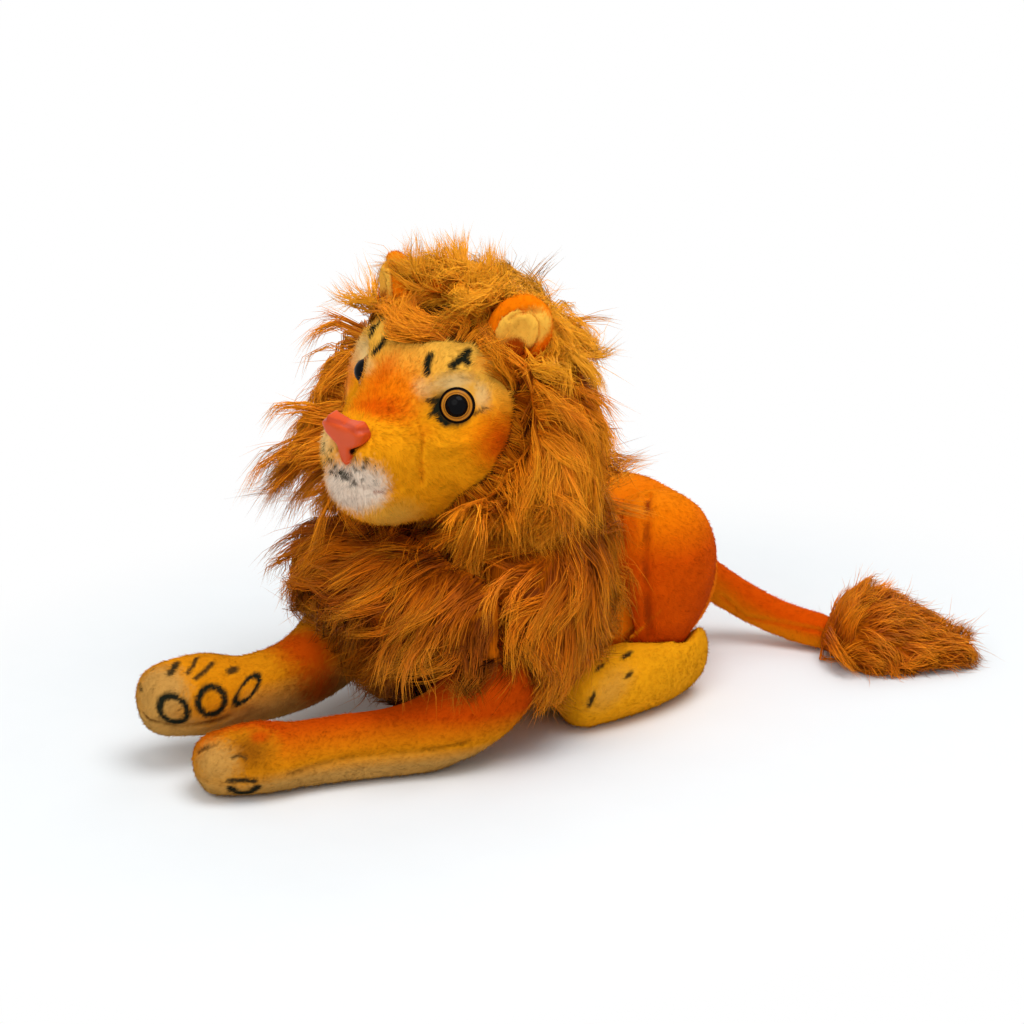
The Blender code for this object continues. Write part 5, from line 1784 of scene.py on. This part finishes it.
class MakeMane(bpy.types.Operator):
    """Makes the long-pile mane and the tail's tuft"""

    bl_idname = "plush_lion.mane"
    bl_label = "Mane and tuft"
    bl_options = {"REGISTER", "UNDO"}

    def execute(self, context):
        clear = []
        for side, radius in (("left", 0.0113), ("right", 0.0100)):
            low, high = (np.array(corner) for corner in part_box(f"ear_lining_{side}"))
            clear.append(((low + high) / 2 + np.array((0.006, 0.0, 0.009)), radius))
        solids = {panel.node: solid_tree([panel.node]) for panel in PANELS}
        for number, panel in enumerate(PANELS):
            fur(panel, number, cloth_of(panel), clear, solids)
        edge = FaceEdge(tree_of(SKINS["head"]))

        def near_seam(points):
            behind = edge.behind(points)
            return (behind > 0) & (behind < EDGE_WIDTH)

        fur(EDGE, len(PANELS), SKINS["head"], clear, solids, near_seam)
        return {"FINISHED"}


class MakeStage(bpy.types.Operator):
    """Makes the floor, the lamps and the camera"""

    bl_idname = "plush_lion.stage"
    bl_label = "Floor, lamps and camera"
    bl_options = {"REGISTER", "UNDO"}

    def execute(self, context):
        stage = context.scene.lion_stage
        scene = context.scene
        bm = bmesh.new()
        bmesh.ops.create_grid(bm, x_segments=1, y_segments=1, size=stage.floor_width / 2)
        floor = new_piece("floor", bm, self.floor_finish())
        self.lamp("key_lamp", (-0.1, 0.45, 1.65), 1.2, stage.lamp_power)
        self.lamp("fill_lamp", (1.2, 0.5, 1.1), 1.4, stage.lamp_power * 0.58)
        self.lamp("rim_lamp", (-1.1, -0.5, 1.2), 1.0, stage.lamp_power * 0.2)
        scene.world = self.sky_finish(stage.sky)
        scene.view_settings.view_transform = "Standard"
        lens = SENSOR_WIDTH * FOCAL_PIXELS / PHOTO_SIDE
        camera_data = bpy.data.cameras.new("camera")
        camera_data.sensor_width = SENSOR_WIDTH
        camera_data.lens = lens
        camera = bpy.data.objects.new("camera", camera_data)
        camera.matrix_world = CAMERA
        scene.collection.objects.link(camera)
        scene.camera = camera
        return {"FINISHED"}

    @staticmethod
    def sky_finish(strength):
        """Even light from all round, on a background that shows white."""
        finish = Finish("studio", "worlds")
        light = strength + (1 - strength) * finish.background_rays()
        back = finish.node("ShaderNodeBackground", {}, {"Color": (1, 1, 1), "Strength": light})
        out = finish.nodes.new("ShaderNodeOutputWorld")
        finish.links.new(back.socket, out.inputs["Surface"])
        return finish.material

    @staticmethod
    def floor_finish():
        """Pale floor that keeps the shadow near the lion and turns white to the camera further off."""
        finish = Finish("floor")
        centred = finish.node(
            "ShaderNodeMapping",
            {"vector_type": "TEXTURE"},
            {"Vector": finish.place(), "Scale": (0.42, 0.34, 1.0)},
        )
        reach = finish.node("ShaderNodeVectorMath", {"operation": "LENGTH"}, {0: centred}, "Value")
        far = reach.ramp(0.5, 0.85)
        grain = finish.noise(30, 2)
        tint = finish.mix(grain, paint(230, 234, 236), paint(233, 237, 239))
        sockets = {"Base Color": tint, "Roughness": 0.8, "Specular IOR Level": 0.1}
        shader = finish.node("ShaderNodeBsdfPrincipled", {}, sockets)
        glow = finish.node("ShaderNodeEmission", {}, {"Color": (1, 1, 1), "Strength": 1.0})
        both = finish.node("ShaderNodeMixShader", {}, {0: far * finish.background_rays(), 1: shader, 2: glow})
        out = finish.nodes.new("ShaderNodeOutputMaterial")
        finish.links.new(both.socket, out.inputs["Surface"])
        return finish.material

    @staticmethod
    def lamp(name, place, size, power):
        """A round soft lamp that looks at the lion's middle."""
        data = bpy.data.lights.new(name, "AREA")
        data.shape = "DISK"
        data.size = size
        data.energy = power
        lamp = bpy.data.objects.new(name, data)
        place = Vector(place)
        look = Vector((0, 0, 0.08)) - place
        lamp.matrix_world = Matrix.Translation(place) @ look.to_track_quat("-Z", "Y").to_matrix().to_4x4()
        bpy.context.scene.collection.objects.link(lamp)


class LionPanel(bpy.types.Panel):
    """Lists the lion's operators and its sizes and colours."""

    bl_idname = "VIEW3D_PT_plush_lion"
    bl_label = "Plush lion"
    bl_space_type = "VIEW_3D"
    bl_region_type = "UI"
    bl_category = "Plush lion"

    def draw(self, context):
        for group in GROUPS:
            values = getattr(context.scene, group)
            box = self.layout.box()
            for name in type(values).__annotations__:
                box.prop(values, name)
        for operator in OPERATORS:
            self.layout.operator(operator.bl_idname)


OPERATORS = (MakeTrunk, MakeHead, MakeEars, MakeEyes, MakeNose, MakeForelegs, MakeTail, MakeMane, MakeStage)
GROUPS = {"lion_plush": LionPlush, "lion_mane": LionMane, "lion_face": LionFace, "lion_stage": LionStage}


def register():
    for name, group in GROUPS.items():
        bpy.utils.register_class(group)
        setattr(bpy.types.Scene, name, bpy.props.PointerProperty(type=group))
    for shown in (*OPERATORS, LionPanel):
        bpy.utils.register_class(shown)


def unregister():
    for shown in (LionPanel, *reversed(OPERATORS)):
        bpy.utils.unregister_class(shown)
    for name, group in reversed(GROUPS.items()):
        delattr(bpy.types.Scene, name)
        bpy.utils.unregister_class(group)


def main():
    register()
    for operator in OPERATORS:
        family, name = operator.bl_idname.split(".")
        getattr(getattr(bpy.ops, family), name)()


if __name__ == "__main__":
    main()
